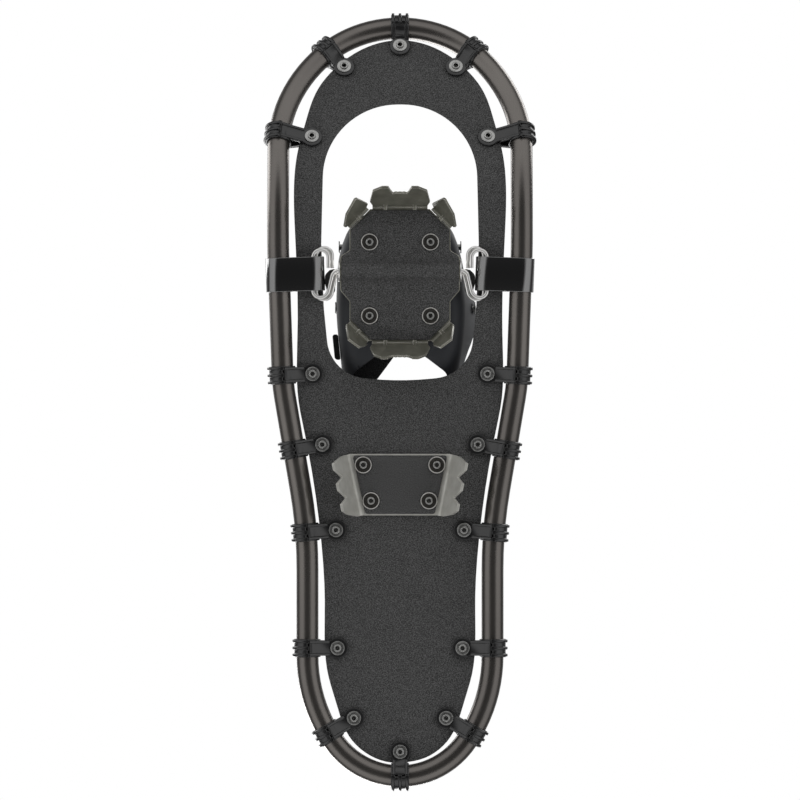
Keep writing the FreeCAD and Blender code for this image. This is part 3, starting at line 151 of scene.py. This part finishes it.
floor_mesh = bpy.data.meshes.new("floor")
floor_shape = bmesh.new()
bmesh.ops.create_grid(floor_shape, x_segments=1, y_segments=1, size=3.0)
bmesh.ops.translate(floor_shape, vec=(0, 0, -0.0005), verts=floor_shape.verts)
floor_shape.to_mesh(floor_mesh)
floor_shape.free()
floor = bpy.data.objects.new("floor", floor_mesh)
bpy.context.scene.collection.objects.link(floor)
paper = bpy.data.materials.new("studio_paper")
paper.use_nodes = True
tree = paper.node_tree
tree.nodes.clear()
ray = add(tree, "LightPath")
side = add(tree, "NewGeometry")
front = add(tree, "Math", {0: 1.0, 1: side.outputs["Backfacing"]}, operation="SUBTRACT")
shown = add(tree, "Math", {0: ray.outputs["Is Camera Ray"], 1: front.outputs[0]},
            operation="MULTIPLY")
sheet_white = add(tree, "BsdfDiffuse", {"Color": linear("#e6e6e4")})
clear = add(tree, "BsdfTransparent")
mix = add(tree, "MixShader", {0: shown.outputs[0], 1: clear.outputs[0], 2: sheet_white.outputs[0]})
add(tree, "OutputMaterial", {"Surface": mix.outputs[0]})
floor_mesh.materials.append(paper)

# ---------------------------------------------------------------- frame tube
# One length of drawn aluminium tube, bent to a loop and closed over a sleeve under the tail clip.
# Its satin bronze-grey powder coat is smooth with a faint orange peel.


def material(name):
    """A new material with its shader; returns the material, its tree and the shader."""
    made = bpy.data.materials.new(name)
    made.use_nodes = True
    tree = made.node_tree
    tree.nodes.clear()
    shader = add(tree, "BsdfPrincipled")
    add(tree, "OutputMaterial", {"Surface": shader.outputs[0]})
    return made, tree, shader


def give(name, finish):
    """Gives a CAD piece its finish."""
    mesh = nodes[name].data
    mesh.materials.clear()
    mesh.materials.append(finish)


# powder-coated aluminium: a dark warm grey with soft, broad highlights
coat, tree, shader = material("powder_coated_aluminium")
place = add(tree, "TexCoord")
cloud = add(tree, "TexNoise", {"Vector": place.outputs["Object"], "Scale": 9.0, "Detail": 3.0})
tone = add(tree, "ValToRGB", {"Fac": cloud.outputs["Fac"]})
tone.color_ramp.elements[0].position = 0.35
tone.color_ramp.elements[0].color = linear("#6b6764")
tone.color_ramp.elements[1].position = 0.7
tone.color_ramp.elements[1].color = linear("#787470")
peel = add(tree, "TexNoise", {"Vector": place.outputs["Object"], "Scale": 650.0, "Detail": 2.0})
bump = add(tree, "Bump", {"Height": peel.outputs["Fac"], "Strength": 0.12, "Distance": 0.0004})
handled = add(tree, "TexNoise", {"Vector": place.outputs["Object"], "Scale": 34.0, "Detail": 4.0})
gloss = add(tree, "MapRange", {0: handled.outputs["Fac"], 3: 0.24, 4: 0.32})
tree.links.new(tone.outputs[0], shader.inputs["Base Color"])
tree.links.new(gloss.outputs[0], shader.inputs["Roughness"])
tree.links.new(bump.outputs[0], shader.inputs["Normal"])
shader.inputs["Metallic"].default_value = 0.85
give("frame_tube", coat)
give("tail_splice", coat)

# ---------------------------------------------------------------- deck
# A sheet of coated fabric with a fine leather-like grain, die-cut and riveted in the clips.
# The coating is matt, so it stays dark; its fine speckle is a painted highlight, a lighter colour
# painted on the grain's tops where they would catch light.

deck_sheet, tree, shader = material("grained_coated_sheet")
place = add(tree, "TexCoord")
grain = add(tree, "TexNoise", {"Vector": place.outputs["Object"], "Scale": 1500.0, "Detail": 3.0})
# painted highlight: the higher tops of the grain get the lighter colour, standing in for the light
# they catch
tone = add(tree, "ValToRGB", {"Fac": grain.outputs["Fac"]})
tone.color_ramp.elements[0].position = 0.40
tone.color_ramp.elements[0].color = linear("#1d1d1d")
tone.color_ramp.elements[1].position = 0.66
tone.color_ramp.elements[1].color = linear("#6a6a6a")
cloud = add(tree, "TexNoise", {"Vector": place.outputs["Object"], "Scale": 14.0, "Detail": 4.0})
shade = add(tree, "MapRange", {0: cloud.outputs["Fac"], 3: 0.88, 4: 1.1})
scaled = add(tree, "VectorMath", {0: tone.outputs[0], "Scale": shade.outputs[0]}, operation="SCALE")
pebble = add(tree, "TexVoronoi", {"Vector": place.outputs["Object"], "Scale": 760.0})
height = add(tree, "Math", {0: grain.outputs["Fac"], 1: pebble.outputs["Distance"]},
             operation="ADD")
bump = add(tree, "Bump", {"Height": height.outputs[0], "Strength": 0.45, "Distance": 0.0004})
tree.links.new(scaled.outputs[0], shader.inputs["Base Color"])
tree.links.new(bump.outputs[0], shader.inputs["Normal"])
shader.inputs["Roughness"].default_value = 0.62
shader.inputs["Specular IOR Level"].default_value = 0.35


same_point = 2e-6
flat_enough = math.radians(0.6)
sharp_edge = math.radians(32.0)


def softened(name, finish, width, segments=2, clamp=False):
    """A copy of a CAD piece with broken edges, as a punched or moulded part has, in its place."""
    source = nodes[name]
    shape = bmesh.new()
    shape.from_mesh(source.data)
    bmesh.ops.remove_doubles(shape, verts=shape.verts, dist=same_point)
    bmesh.ops.dissolve_limit(shape, angle_limit=flat_enough, verts=shape.verts, edges=shape.edges)
    mesh = bpy.data.meshes.new(name + "_look")
    shape.to_mesh(mesh)
    shape.free()
    mesh.shade_smooth()
    piece = bpy.data.objects.new(name + "_look", mesh)
    bpy.context.scene.collection.objects.link(piece)
    edges = piece.modifiers.new("edges", "BEVEL")
    edges.width = width
    edges.segments = segments
    edges.limit_method = "ANGLE"
    edges.angle_limit = sharp_edge
    edges.use_clamp_overlap = clamp
    edges.harden_normals = True
    mesh.materials.append(finish)
    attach(piece, source["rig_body"])
    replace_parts(piece, name)


softened("deck", deck_sheet, 0.35 * mm)
softened("toe_crampon_pad", deck_sheet, 0.3 * mm)
softened("heel_crampon_pad", deck_sheet, 0.3 * mm)

# ---------------------------------------------------------------- deck clips
# Sixteen moulded nylon clips wrap the tube and hold the deck between their two arms. Three ribs
# stand round the outside, and a raised border runs down each arm to the rivet.

# nylon, moulded: near black, with a soft sheen and a very fine spark-eroded texture
nylon, tree, shader = material("moulded_nylon")
place = add(tree, "TexCoord")
spark = add(tree, "TexNoise", {"Vector": place.outputs["Object"], "Scale": 1300.0, "Detail": 2.0})
bump = add(tree, "Bump", {"Height": spark.outputs["Fac"], "Strength": 0.15, "Distance": 0.0002})
cloud = add(tree, "TexNoise", {"Vector": place.outputs["Object"], "Scale": 60.0, "Detail": 3.0})
gloss = add(tree, "MapRange", {0: cloud.outputs["Fac"], 3: 0.26, 4: 0.38})
tree.links.new(gloss.outputs[0], shader.inputs["Roughness"])
tree.links.new(bump.outputs[0], shader.inputs["Normal"])
shader.inputs["Base Color"].default_value = linear("#131314")
shader.inputs["Specular IOR Level"].default_value = 0.8

clip_metal = ("clip_rivets", "clip_washers")
for name in [n for n in nodes if n.startswith("clip_") and n not in clip_metal]:
    softened(name, nylon, 0.5 * mm, segments=3)

# ---------------------------------------------------------------- rivets and washers
# Tubular steel rivets, zinc plated: a domed head above, and below an edge rolled over a washer.

zinc, tree, shader = material("zinc_plated_steel")
place = add(tree, "TexCoord")
brush = add(tree, "TexNoise", {"Vector": place.outputs["Object"], "Scale": 900.0, "Detail": 3.0})
gloss = add(tree, "MapRange", {0: brush.outputs["Fac"], 3: 0.22, 4: 0.42})
tone = add(tree, "ValToRGB", {"Fac": brush.outputs["Fac"]})
tone.color_ramp.elements[0].color = linear("#8a8a88")
tone.color_ramp.elements[1].color = linear("#c4c4c2")
tree.links.new(tone.outputs[0], shader.inputs["Base Color"])
tree.links.new(gloss.outputs[0], shader.inputs["Roughness"])
shader.inputs["Metallic"].default_value = 1.0
for name in ("clip_rivets", "clip_washers", "toe_rivets", "heel_rivets", "strap_rivets"):
    softened(name, zinc, 0.25 * mm)

# black-oxide steel: the crampons' washers, dark, with a painted highlight along the rim: a light
# colour on the rounded edge stands in for the light its chamfer catches
oxide, tree, shader = material("black_oxide_steel")
place = add(tree, "TexCoord")
brush = add(tree, "TexNoise", {"Vector": place.outputs["Object"], "Scale": 700.0, "Detail": 3.0})
tone = add(tree, "ValToRGB", {"Fac": brush.outputs["Fac"]})
tone.color_ramp.elements[0].color = linear("#33312f")
tone.color_ramp.elements[1].color = linear("#55534f")
rim = add(tree, "Bevel", {"Radius": 0.0005}, samples=6)
flat = add(tree, "NewGeometry")
turned = add(tree, "VectorMath", {0: rim.outputs[0], 1: flat.outputs["Normal"]},
             operation="DOT_PRODUCT")
# painted highlight: the rounded rim edge gets a near-white colour for the light the washer's
# chamfer catches
edge_wear_and_highlight_mask = add(tree, "MapRange", {0: turned.outputs["Value"], 1: 0.99, 2: 0.9, 3: 0.0, 4: 1.0})
edge_wear_and_highlight_colour = add(tree, "Mix", {0: edge_wear_and_highlight_mask.outputs[0], 6: tone.outputs[0], 7: linear("#e6e5e2")},
           data_type="RGBA")
tree.links.new(edge_wear_and_highlight_colour.outputs[2], shader.inputs["Base Color"])
shader.inputs["Metallic"].default_value = 0.6
shader.inputs["Roughness"].default_value = 0.35
for name in ("toe_washers", "heel_washers"):
    softened(name, oxide, 0.35 * mm)


def finished(name, shape, finish, body):
    """Turns a bmesh into a piece that rides on a body."""
    bmesh.ops.recalc_face_normals(shape, faces=shape.faces)
    mesh = bpy.data.meshes.new(name)
    shape.to_mesh(mesh)
    shape.free()
    mesh.shade_smooth()
    mesh.materials.append(finish)
    piece = bpy.data.objects.new(name, mesh)
    bpy.context.scene.collection.objects.link(piece)
    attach(piece, body)
    return piece


# bright steel, a painted highlight: each crampon washer's lower rim is rolled to a thin bead,
# coloured light to stand in for the light its chamfered edge catches
bead_highlight_steel, tree, shader = material("bright_steel_painted_highlight")
place = add(tree, "TexCoord")
brush = add(tree, "TexNoise", {"Vector": place.outputs["Object"], "Scale": 500.0, "Detail": 3.0})
gloss = add(tree, "MapRange", {0: brush.outputs["Fac"], 3: 0.3, 4: 0.42})
tree.links.new(gloss.outputs[0], shader.inputs["Roughness"])
shader.inputs["Base Color"].default_value = linear("#dedcd8")
shader.inputs["Metallic"].default_value = 1.0
bead = 0.45 * mm
# the bead's light colour is a painted highlight on the dark black-oxide washer
for name in ("toe_washers", "heel_washers"):
    low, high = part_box(name)
    rims = bmesh.new()
    corners = [v.co for v in nodes[name].data.vertices if v.co.z < low[2] + 0.3 * mm]
    middle_x, middle_y = (low[0] + high[0]) / 2, (low[1] + high[1]) / 2
    for sx, sy in ((-1, -1), (-1, 1), (1, -1), (1, 1)):
        own = [c for c in corners if (c.x - middle_x) * sx > 0 and (c.y - middle_y) * sy > 0]
        west, east = min(c.x for c in own), max(c.x for c in own)
        south, north = min(c.y for c in own), max(c.y for c in own)
        centre = Vector(((west + east) / 2, (south + north) / 2, low[2]))
        section = bmesh.ops.create_circle(rims, segments=8, radius=bead)["verts"]
        upright = Matrix.Rotation(math.pi / 2, 4, "X")
        seat = Matrix.Translation(centre + Vector(((east - west) / 2 - bead, 0, bead * 0.3)))
        bmesh.ops.transform(rims, matrix=seat @ upright, verts=section)
        edges = list({e for v in section for e in v.link_edges})
        bmesh.ops.spin(rims, geom=section + edges, cent=centre, axis=(0, 0, 1), angle=2 * math.pi,
                       steps=40, use_merge=True)
    finished(name[:-1] + "_rims", rims, bead_highlight_steel, nodes[name]["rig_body"])

# ---------------------------------------------------------------- crampons
# Carbon steel plates, laser cut and folded, with a thin olive-grey coating that has worn to bright
# metal along the cut edges and the tooth tips.
# The heel plate gets a much lighter copy of that coating, a painted highlight for the side light
# its steep rails catch.


def worn_steel(name, dark, light, bright, metallic, rough):
    """Coated steel that is rubbed bright along its edges."""
    made, tree, shader = material(name)
    place = add(tree, "TexCoord")
    cloud = add(tree, "TexNoise",
                {"Vector": place.outputs["Object"], "Scale": 120.0, "Detail": 5.0})
    tone = add(tree, "ValToRGB", {"Fac": cloud.outputs["Fac"]})
    tone.color_ramp.elements[0].position = 0.3
    tone.color_ramp.elements[0].color = linear(dark)
    tone.color_ramp.elements[1].position = 0.75
    tone.color_ramp.elements[1].color = linear(light)
    rounded = add(tree, "Bevel", {"Radius": 0.0009}, samples=6)
    flat = add(tree, "NewGeometry")
    turned = add(tree, "VectorMath", {0: rounded.outputs[0], 1: flat.outputs["Normal"]},
                 operation="DOT_PRODUCT")
    edge_wear_and_highlight_mask = add(tree, "MapRange", {0: turned.outputs["Value"], 1: 0.985, 2: 0.86, 3: 0.0, 4: 1.0})
    edge_wear_and_highlight_colour = add(tree, "Mix", {0: edge_wear_and_highlight_mask.outputs[0], 6: tone.outputs[0], 7: linear(bright)},
               data_type="RGBA")
    grit = add(tree, "TexNoise", {"Vector": place.outputs["Object"], "Scale": 900.0, "Detail": 2.0})
    bump = add(tree, "Bump", {"Height": grit.outputs["Fac"], "Strength": 0.15, "Distance": 0.0002})
    tree.links.new(edge_wear_and_highlight_colour.outputs[2], shader.inputs["Base Color"])
    tree.links.new(bump.outputs[0], shader.inputs["Normal"])
    shader.inputs["Metallic"].default_value = metallic
    shader.inputs["Roughness"].default_value = rough
    return made


olive_steel = worn_steel("coated_carbon_steel", "#6a695f", "#7f7e73", "#f4f1e8", 0.35, 0.32)
# painted highlight: the heel plate's coating is painted far lighter than the toe plate's, for the
# side light on its steep rails
heel_steel_painted_lit = worn_steel("coated_carbon_steel_heel_painted_lit", "#b3b2ab", "#c9c8c2", "#f2f1ec", 0.3, 0.36)
softened("toe_crampon", olive_steel, 0.25 * mm)
softened("heel_crampon", heel_steel_painted_lit, 0.25 * mm)

# ---------------------------------------------------------------- axle wires
# Two 3.2 mm stainless wires, each bent to a ring at both ends; the crampon's channel turns on
# the sleeve between them.

stainless, tree, shader = material("polished_stainless_wire")
place = add(tree, "TexCoord")
draw = add(tree, "TexNoise", {"Vector": place.outputs["Object"], "Scale": 420.0, "Detail": 4.0})
gloss = add(tree, "MapRange", {0: draw.outputs["Fac"], 3: 0.26, 4: 0.32})
tree.links.new(gloss.outputs[0], shader.inputs["Roughness"])
shader.inputs["Base Color"].default_value = linear("#fdfcfa")
shader.inputs["Metallic"].default_value = 1.0
for name in ("axle_wire_lower", "axle_wire_upper", "toe_buckle_pin", "instep_buckle_pin",
             "heel_buckle_pin"):
    give(name, stainless)
for name in ("axle_sleeve", "axle_washers"):
    softened(name, stainless, 0.2 * mm)

# ---------------------------------------------------------------- hinge straps
# Coated webbing, folded round the tube and through the wire ring and welded where it laps. The
# urethane coat is smooth and very glossy.

urethane, tree, shader = material("urethane_coated_webbing")
place = add(tree, "TexCoord")
ripple = add(tree, "TexNoise", {"Vector": place.outputs["Object"], "Scale": 90.0, "Detail": 2.0})
bump = add(tree, "Bump", {"Height": ripple.outputs["Fac"], "Strength": 0.12, "Distance": 0.0006})
tree.links.new(bump.outputs[0], shader.inputs["Normal"])
shader.inputs["Base Color"].default_value = linear("#0c0c0d")
shader.inputs["Roughness"].default_value = 0.16
shader.inputs["IOR"].default_value = 1.7
shader.inputs["Specular IOR Level"].default_value = 0.9
shader.inputs["Coat Weight"].default_value = 1.0
shader.inputs["Coat IOR"].default_value = 2.0
shader.inputs["Coat Roughness"].default_value = 0.1
for side_name in ("left", "right"):
    softened("hinge_strap_" + side_name, urethane, 0.5 * mm, segments=3)

# ---------------------------------------------------------------- binding cradle
# A moulded thermoplastic elastomer cradle, riveted between the crampon and the footbed. It is
# smooth and slightly soft, so its highlights are broad and blue-grey.

elastomer, tree, shader = material("moulded_elastomer")
place = add(tree, "TexCoord")
skin = add(tree, "TexNoise", {"Vector": place.outputs["Object"], "Scale": 1100.0, "Detail": 2.0})
bump = add(tree, "Bump", {"Height": skin.outputs["Fac"], "Strength": 0.1, "Distance": 0.0002})
cloud = add(tree, "TexNoise", {"Vector": place.outputs["Object"], "Scale": 30.0, "Detail": 3.0})
tone = add(tree, "ValToRGB", {"Fac": cloud.outputs["Fac"]})
tone.color_ramp.elements[0].color = linear("#202225")
tone.color_ramp.elements[1].color = linear("#2a2c31")
tree.links.new(tone.outputs[0], shader.inputs["Base Color"])
tree.links.new(bump.outputs[0], shader.inputs["Normal"])
shader.inputs["Roughness"].default_value = 0.58
shader.inputs["Specular IOR Level"].default_value = 0.4
softened("binding_cradle", elastomer, 0.8 * mm, segments=3)
for name in ("footbed", "heel_rest"):
    softened(name, elastomer, 0.8 * mm, segments=3, clamp=True)

# ---------------------------------------------------------------- wire guards
# Small moulded rubber guards, pressed over the wires where they leave the binding.

rubber, tree, shader = material("moulded_black_rubber")
place = add(tree, "TexCoord")
skin = add(tree, "TexNoise", {"Vector": place.outputs["Object"], "Scale": 1000.0, "Detail": 2.0})
bump = add(tree, "Bump", {"Height": skin.outputs["Fac"], "Strength": 0.12, "Distance": 0.0002})
cloud = add(tree, "TexNoise", {"Vector": place.outputs["Object"], "Scale": 45.0, "Detail": 3.0})
gloss = add(tree, "MapRange", {0: cloud.outputs["Fac"], 3: 0.38, 4: 0.52})
tree.links.new(bump.outputs[0], shader.inputs["Normal"])
tree.links.new(gloss.outputs[0], shader.inputs["Roughness"])
shader.inputs["Base Color"].default_value = linear("#1e1e1c")
for side_name in ("left", "right"):
    softened("wire_guard_" + side_name, rubber, 0.5 * mm, segments=3,
             clamp=True)

# ---------------------------------------------------------------- footbed tread
# Low rounded bars moulded on the footbed, so that a snowy sole doesn't slide on it.

bed_low, bed_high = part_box("footbed")
tread = bmesh.new()
bar_pitch, bar_width, bar_height = 8.4 * mm, 3.2 * mm, 1.1 * mm
bar_count = int((bed_high[1] - bed_low[1] - 16 * mm) / bar_pitch)
for i in range(bar_count):
    y = bed_low[1] + 9 * mm + i * bar_pitch
    near_toe = (y - bed_low[1]) / (bed_high[1] - bed_low[1])
    half = (bed_high[0] - 4 * mm) * (1.0 - 0.42 * max(0.0, near_toe - 0.45) ** 1.2 * 2.2)
    if i % 3 == 1:
        spans = [(-half * 0.24, half * 0.24)]
    else:
        spans = [(-half * 0.62, -half * 0.12), (half * 0.12, half * 0.62)]
    for x0, x1 in spans:
        bar = bmesh.ops.create_cube(tread, size=1.0)["verts"]
        bmesh.ops.scale(tread, vec=(x1 - x0, bar_width, 2 * bar_height), verts=bar)
        bmesh.ops.translate(tread, vec=((x0 + x1) / 2, y, bed_high[2]), verts=bar)
bmesh.ops.bevel(tread, geom=tread.edges, offset=0.7 * mm, offset_type="OFFSET", affect="EDGES",
                segments=2, profile=0.5, material=-1)

finished("footbed_tread", tread, elastomer, "binding")

# ---------------------------------------------------------------- webbing straps
# Flat polyester webbing in a plain weave, 2 mm thick, threaded through the buckles and riveted
# inside the cradle's walls. Its edges are woven over, so they are round.


def eased(points, rounds=4):
    """Cuts a route's corners again and again, which leaves a smooth curve."""
    for _ in range(rounds):
        cut = [points[0]]
        for p, q in zip(points, points[1:]):
            cut += [p.lerp(q, 0.25), p.lerp(q, 0.75)]
        points = cut + [points[-1]]
    return points


def strap(section, route, across):
    """Extrudes a strap's section, as (across, out) pairs, along a route; its UVs are in metres."""
    shape = bmesh.new()
    uv = shape.loops.layers.uv.new("weave")
    spots, run = [], 0.0
    for i, point in enumerate(route):
        along = (route[min(i + 1, len(route) - 1)] - route[max(i - 1, 0)]).normalized()
        out = along.cross(across).normalized()
        turn = Matrix((across, out, along)).transposed().to_4x4()
        run += (point - route[i - 1]).length if i else 0.0
        spots.append((Matrix.Translation(point) @ turn, point, run))
    first = spots[0][0]
    verts = [shape.verts.new(first @ Vector((a, o, 0))) for a, o in section]
    start = [shape.edges.new((v, verts[(i + 1) % len(verts)])) for i, v in enumerate(verts)]
    edges = start
    for before, after in zip(spots, spots[1:]):
        made = bmesh.ops.extrude_edge_only(shape, edges=edges)["geom"]
        fresh = [g for g in made if isinstance(g, bmesh.types.BMVert)]
        edges = [g for g in made if isinstance(g, bmesh.types.BMEdge)
                 and g.verts[0] in fresh and g.verts[1] in fresh]
        bmesh.ops.transform(shape, matrix=after[0] @ before[0].inverted(), verts=fresh)
        for face in (g for g in made if isinstance(g, bmesh.types.BMFace)):
            for loop in face.loops:
                _, point, length = after if loop.vert in fresh else before
                loop[uv].uv = ((loop.vert.co - point).dot(across), length)
    bmesh.ops.contextual_create(shape, geom=start)
    bmesh.ops.contextual_create(shape, geom=edges)
    return shape


def flat_section(width, thickness):
    """A webbing's section: flat faces and round edges."""
    w, t, edge = width / 2, thickness / 2, thickness * 0.32
    flat_end, turn_x, turn_z = w - edge * 1.6, w - edge * 0.4, t - edge * 0.6
    right = [(flat_end, -t), (turn_x, -turn_z), (w, 0), (turn_x, turn_z), (flat_end, t)]
    return right + [(-a, -o) for a, o in right]


webbing, tree, shader = material("polyester_webbing")
# a plain weave whose threads are drawn 1.3 mm apart, twice the real pitch, so that they show
place = add(tree, "UVMap", uv_map="weave")
per_metre = 770.0
threads = add(tree, "Mapping", {"Vector": place.outputs[0], "Scale": (per_metre, per_metre, 1.0)})
split = add(tree, "SeparateXYZ", {0: threads.outputs[0]})
waves = []
for axis in ("X", "Y"):
    phase = add(tree, "Math", {0: split.outputs[axis], 1: math.pi}, operation="MULTIPLY")
    wave = add(tree, "Math", {0: phase.outputs[0]}, operation="SINE")
    waves.append(add(tree, "Math", {0: wave.outputs[0]}, operation="ABSOLUTE"))
over = add(tree, "TexChecker", {"Vector": threads.outputs[0], "Scale": 1.0})
height = add(tree, "Mix", {0: over.outputs["Fac"], 2: waves[0].outputs[0], 3: waves[1].outputs[0]})
bump = add(tree, "Bump", {"Height": height.outputs[0], "Strength": 0.7, "Distance": 0.0006})
fibre = add(tree, "TexNoise", {"Vector": threads.outputs[0], "Scale": 3.0, "Detail": 3.0})
tone = add(tree, "ValToRGB", {"Fac": fibre.outputs["Fac"]})
tone.color_ramp.elements[0].color = linear("#161617")
tone.color_ramp.elements[1].color = linear("#2c2c2f")
tree.links.new(tone.outputs[0], shader.inputs["Base Color"])
tree.links.new(bump.outputs[0], shader.inputs["Normal"])
shader.inputs["Roughness"].default_value = 0.7
shader.inputs["Sheen Weight"].default_value = 0.25

web_width, web_thick = 22 * mm, 2 * mm
for name in ("toe_strap", "instep_strap"):
    low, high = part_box(name)
    rise = high[2] - web_thick / 2
    feet = [v.co.x for v in nodes[name].data.vertices if v.co.z < low[2] + 1 * mm]
    left_foot, right_foot = min(feet) + web_thick / 2, max(feet) - web_thick / 2
    left_top, right_top = low[0] + web_thick / 2, high[0] - web_thick / 2
    middle = (low[1] + high[1]) / 2
    bend = rise - 22 * mm
    half_way = (low[2] + bend) / 2
    shoulder = rise - 7 * mm
    route = [(left_foot, low[2]), ((left_foot + left_top) / 2, half_way), (left_top, bend),
             (-33 * mm, shoulder), (-14 * mm, rise), (14 * mm, rise), (33 * mm, shoulder),
             (right_top, bend), ((right_foot + right_top) / 2, half_way), (right_foot, low[2])]
    route = eased([Vector((x, middle, z)) for x, z in route])
    shape = strap(flat_section(web_width, web_thick), route, Vector((0, 1, 0)))
    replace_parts(finished(name + "_webbing", shape, webbing, "binding"), name)

low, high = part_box("strap_tail")
side_x, level = high[0] - 6 * mm, (low[2] + high[2]) / 2
tail_width, tail_thick = 20 * mm, 1.8 * mm
route = eased([Vector((13 * mm, high[1] - 2 * mm, level)),
               Vector((24 * mm, high[1] - 17 * mm, level)),
               Vector((side_x, low[1] + 2 * mm, level))], rounds=3)
shape = strap(flat_section(tail_width, tail_thick), route, Vector((0.87, 0.5, 0)).normalized())
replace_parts(finished("strap_tail_webbing", shape, webbing, "binding"), "strap_tail")

# ---------------------------------------------------------------- heel strap
# A moulded rubber band round the back of the heel. A raised rim runs along both edges.

low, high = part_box("heel_strap")
feet = [v.co.x for v in nodes["heel_strap"].data.vertices if v.co.y > high[1] - 1 * mm]
band_t = 2.6 * mm
foot = max(feet) - band_t / 2
w, t, rim = 11 * mm, band_t / 2, 0.5 * mm
section = [(w, -t), (w, t), (w - 1.0 * mm, t + rim), (w - 2.6 * mm, t + rim), (w - 3.6 * mm, t)]
section = section + [(-a, o) for a, o in reversed(section)]
half_route = [(foot, high[1]), (foot - 0.2 * mm, high[1] - 20 * mm),
              (41 * mm, low[1] + 78 * mm), (38.5 * mm, low[1] + 46 * mm),
              (35.5 * mm, low[1] + 24 * mm), (26 * mm, low[1] + 5 * mm),
              (9 * mm, low[1] + band_t / 2)]
route = half_route + [(-x, y) for x, y in reversed(half_route)]
route = eased([Vector((x, y, (low[2] + high[2]) / 2)) for x, y in route])
shape = strap(section, route, Vector((0, 0, 1)))
band = finished("heel_band", shape, rubber, "binding")
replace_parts(band, "heel_strap")

# ---------------------------------------------------------------- buckles
# Moulded acetal cam buckles: a base with two cheeks, and a lever that turns on a steel pin.

for name in ("toe", "instep", "heel"):
    softened(name + "_buckle_frame", nylon, 0.5 * mm, segments=3, clamp=True)
    softened(name + "_buckle_lever", nylon, 0.5 * mm, segments=3, clamp=True)
softened("strap_guide", nylon, 0.8 * mm, segments=3, clamp=True)
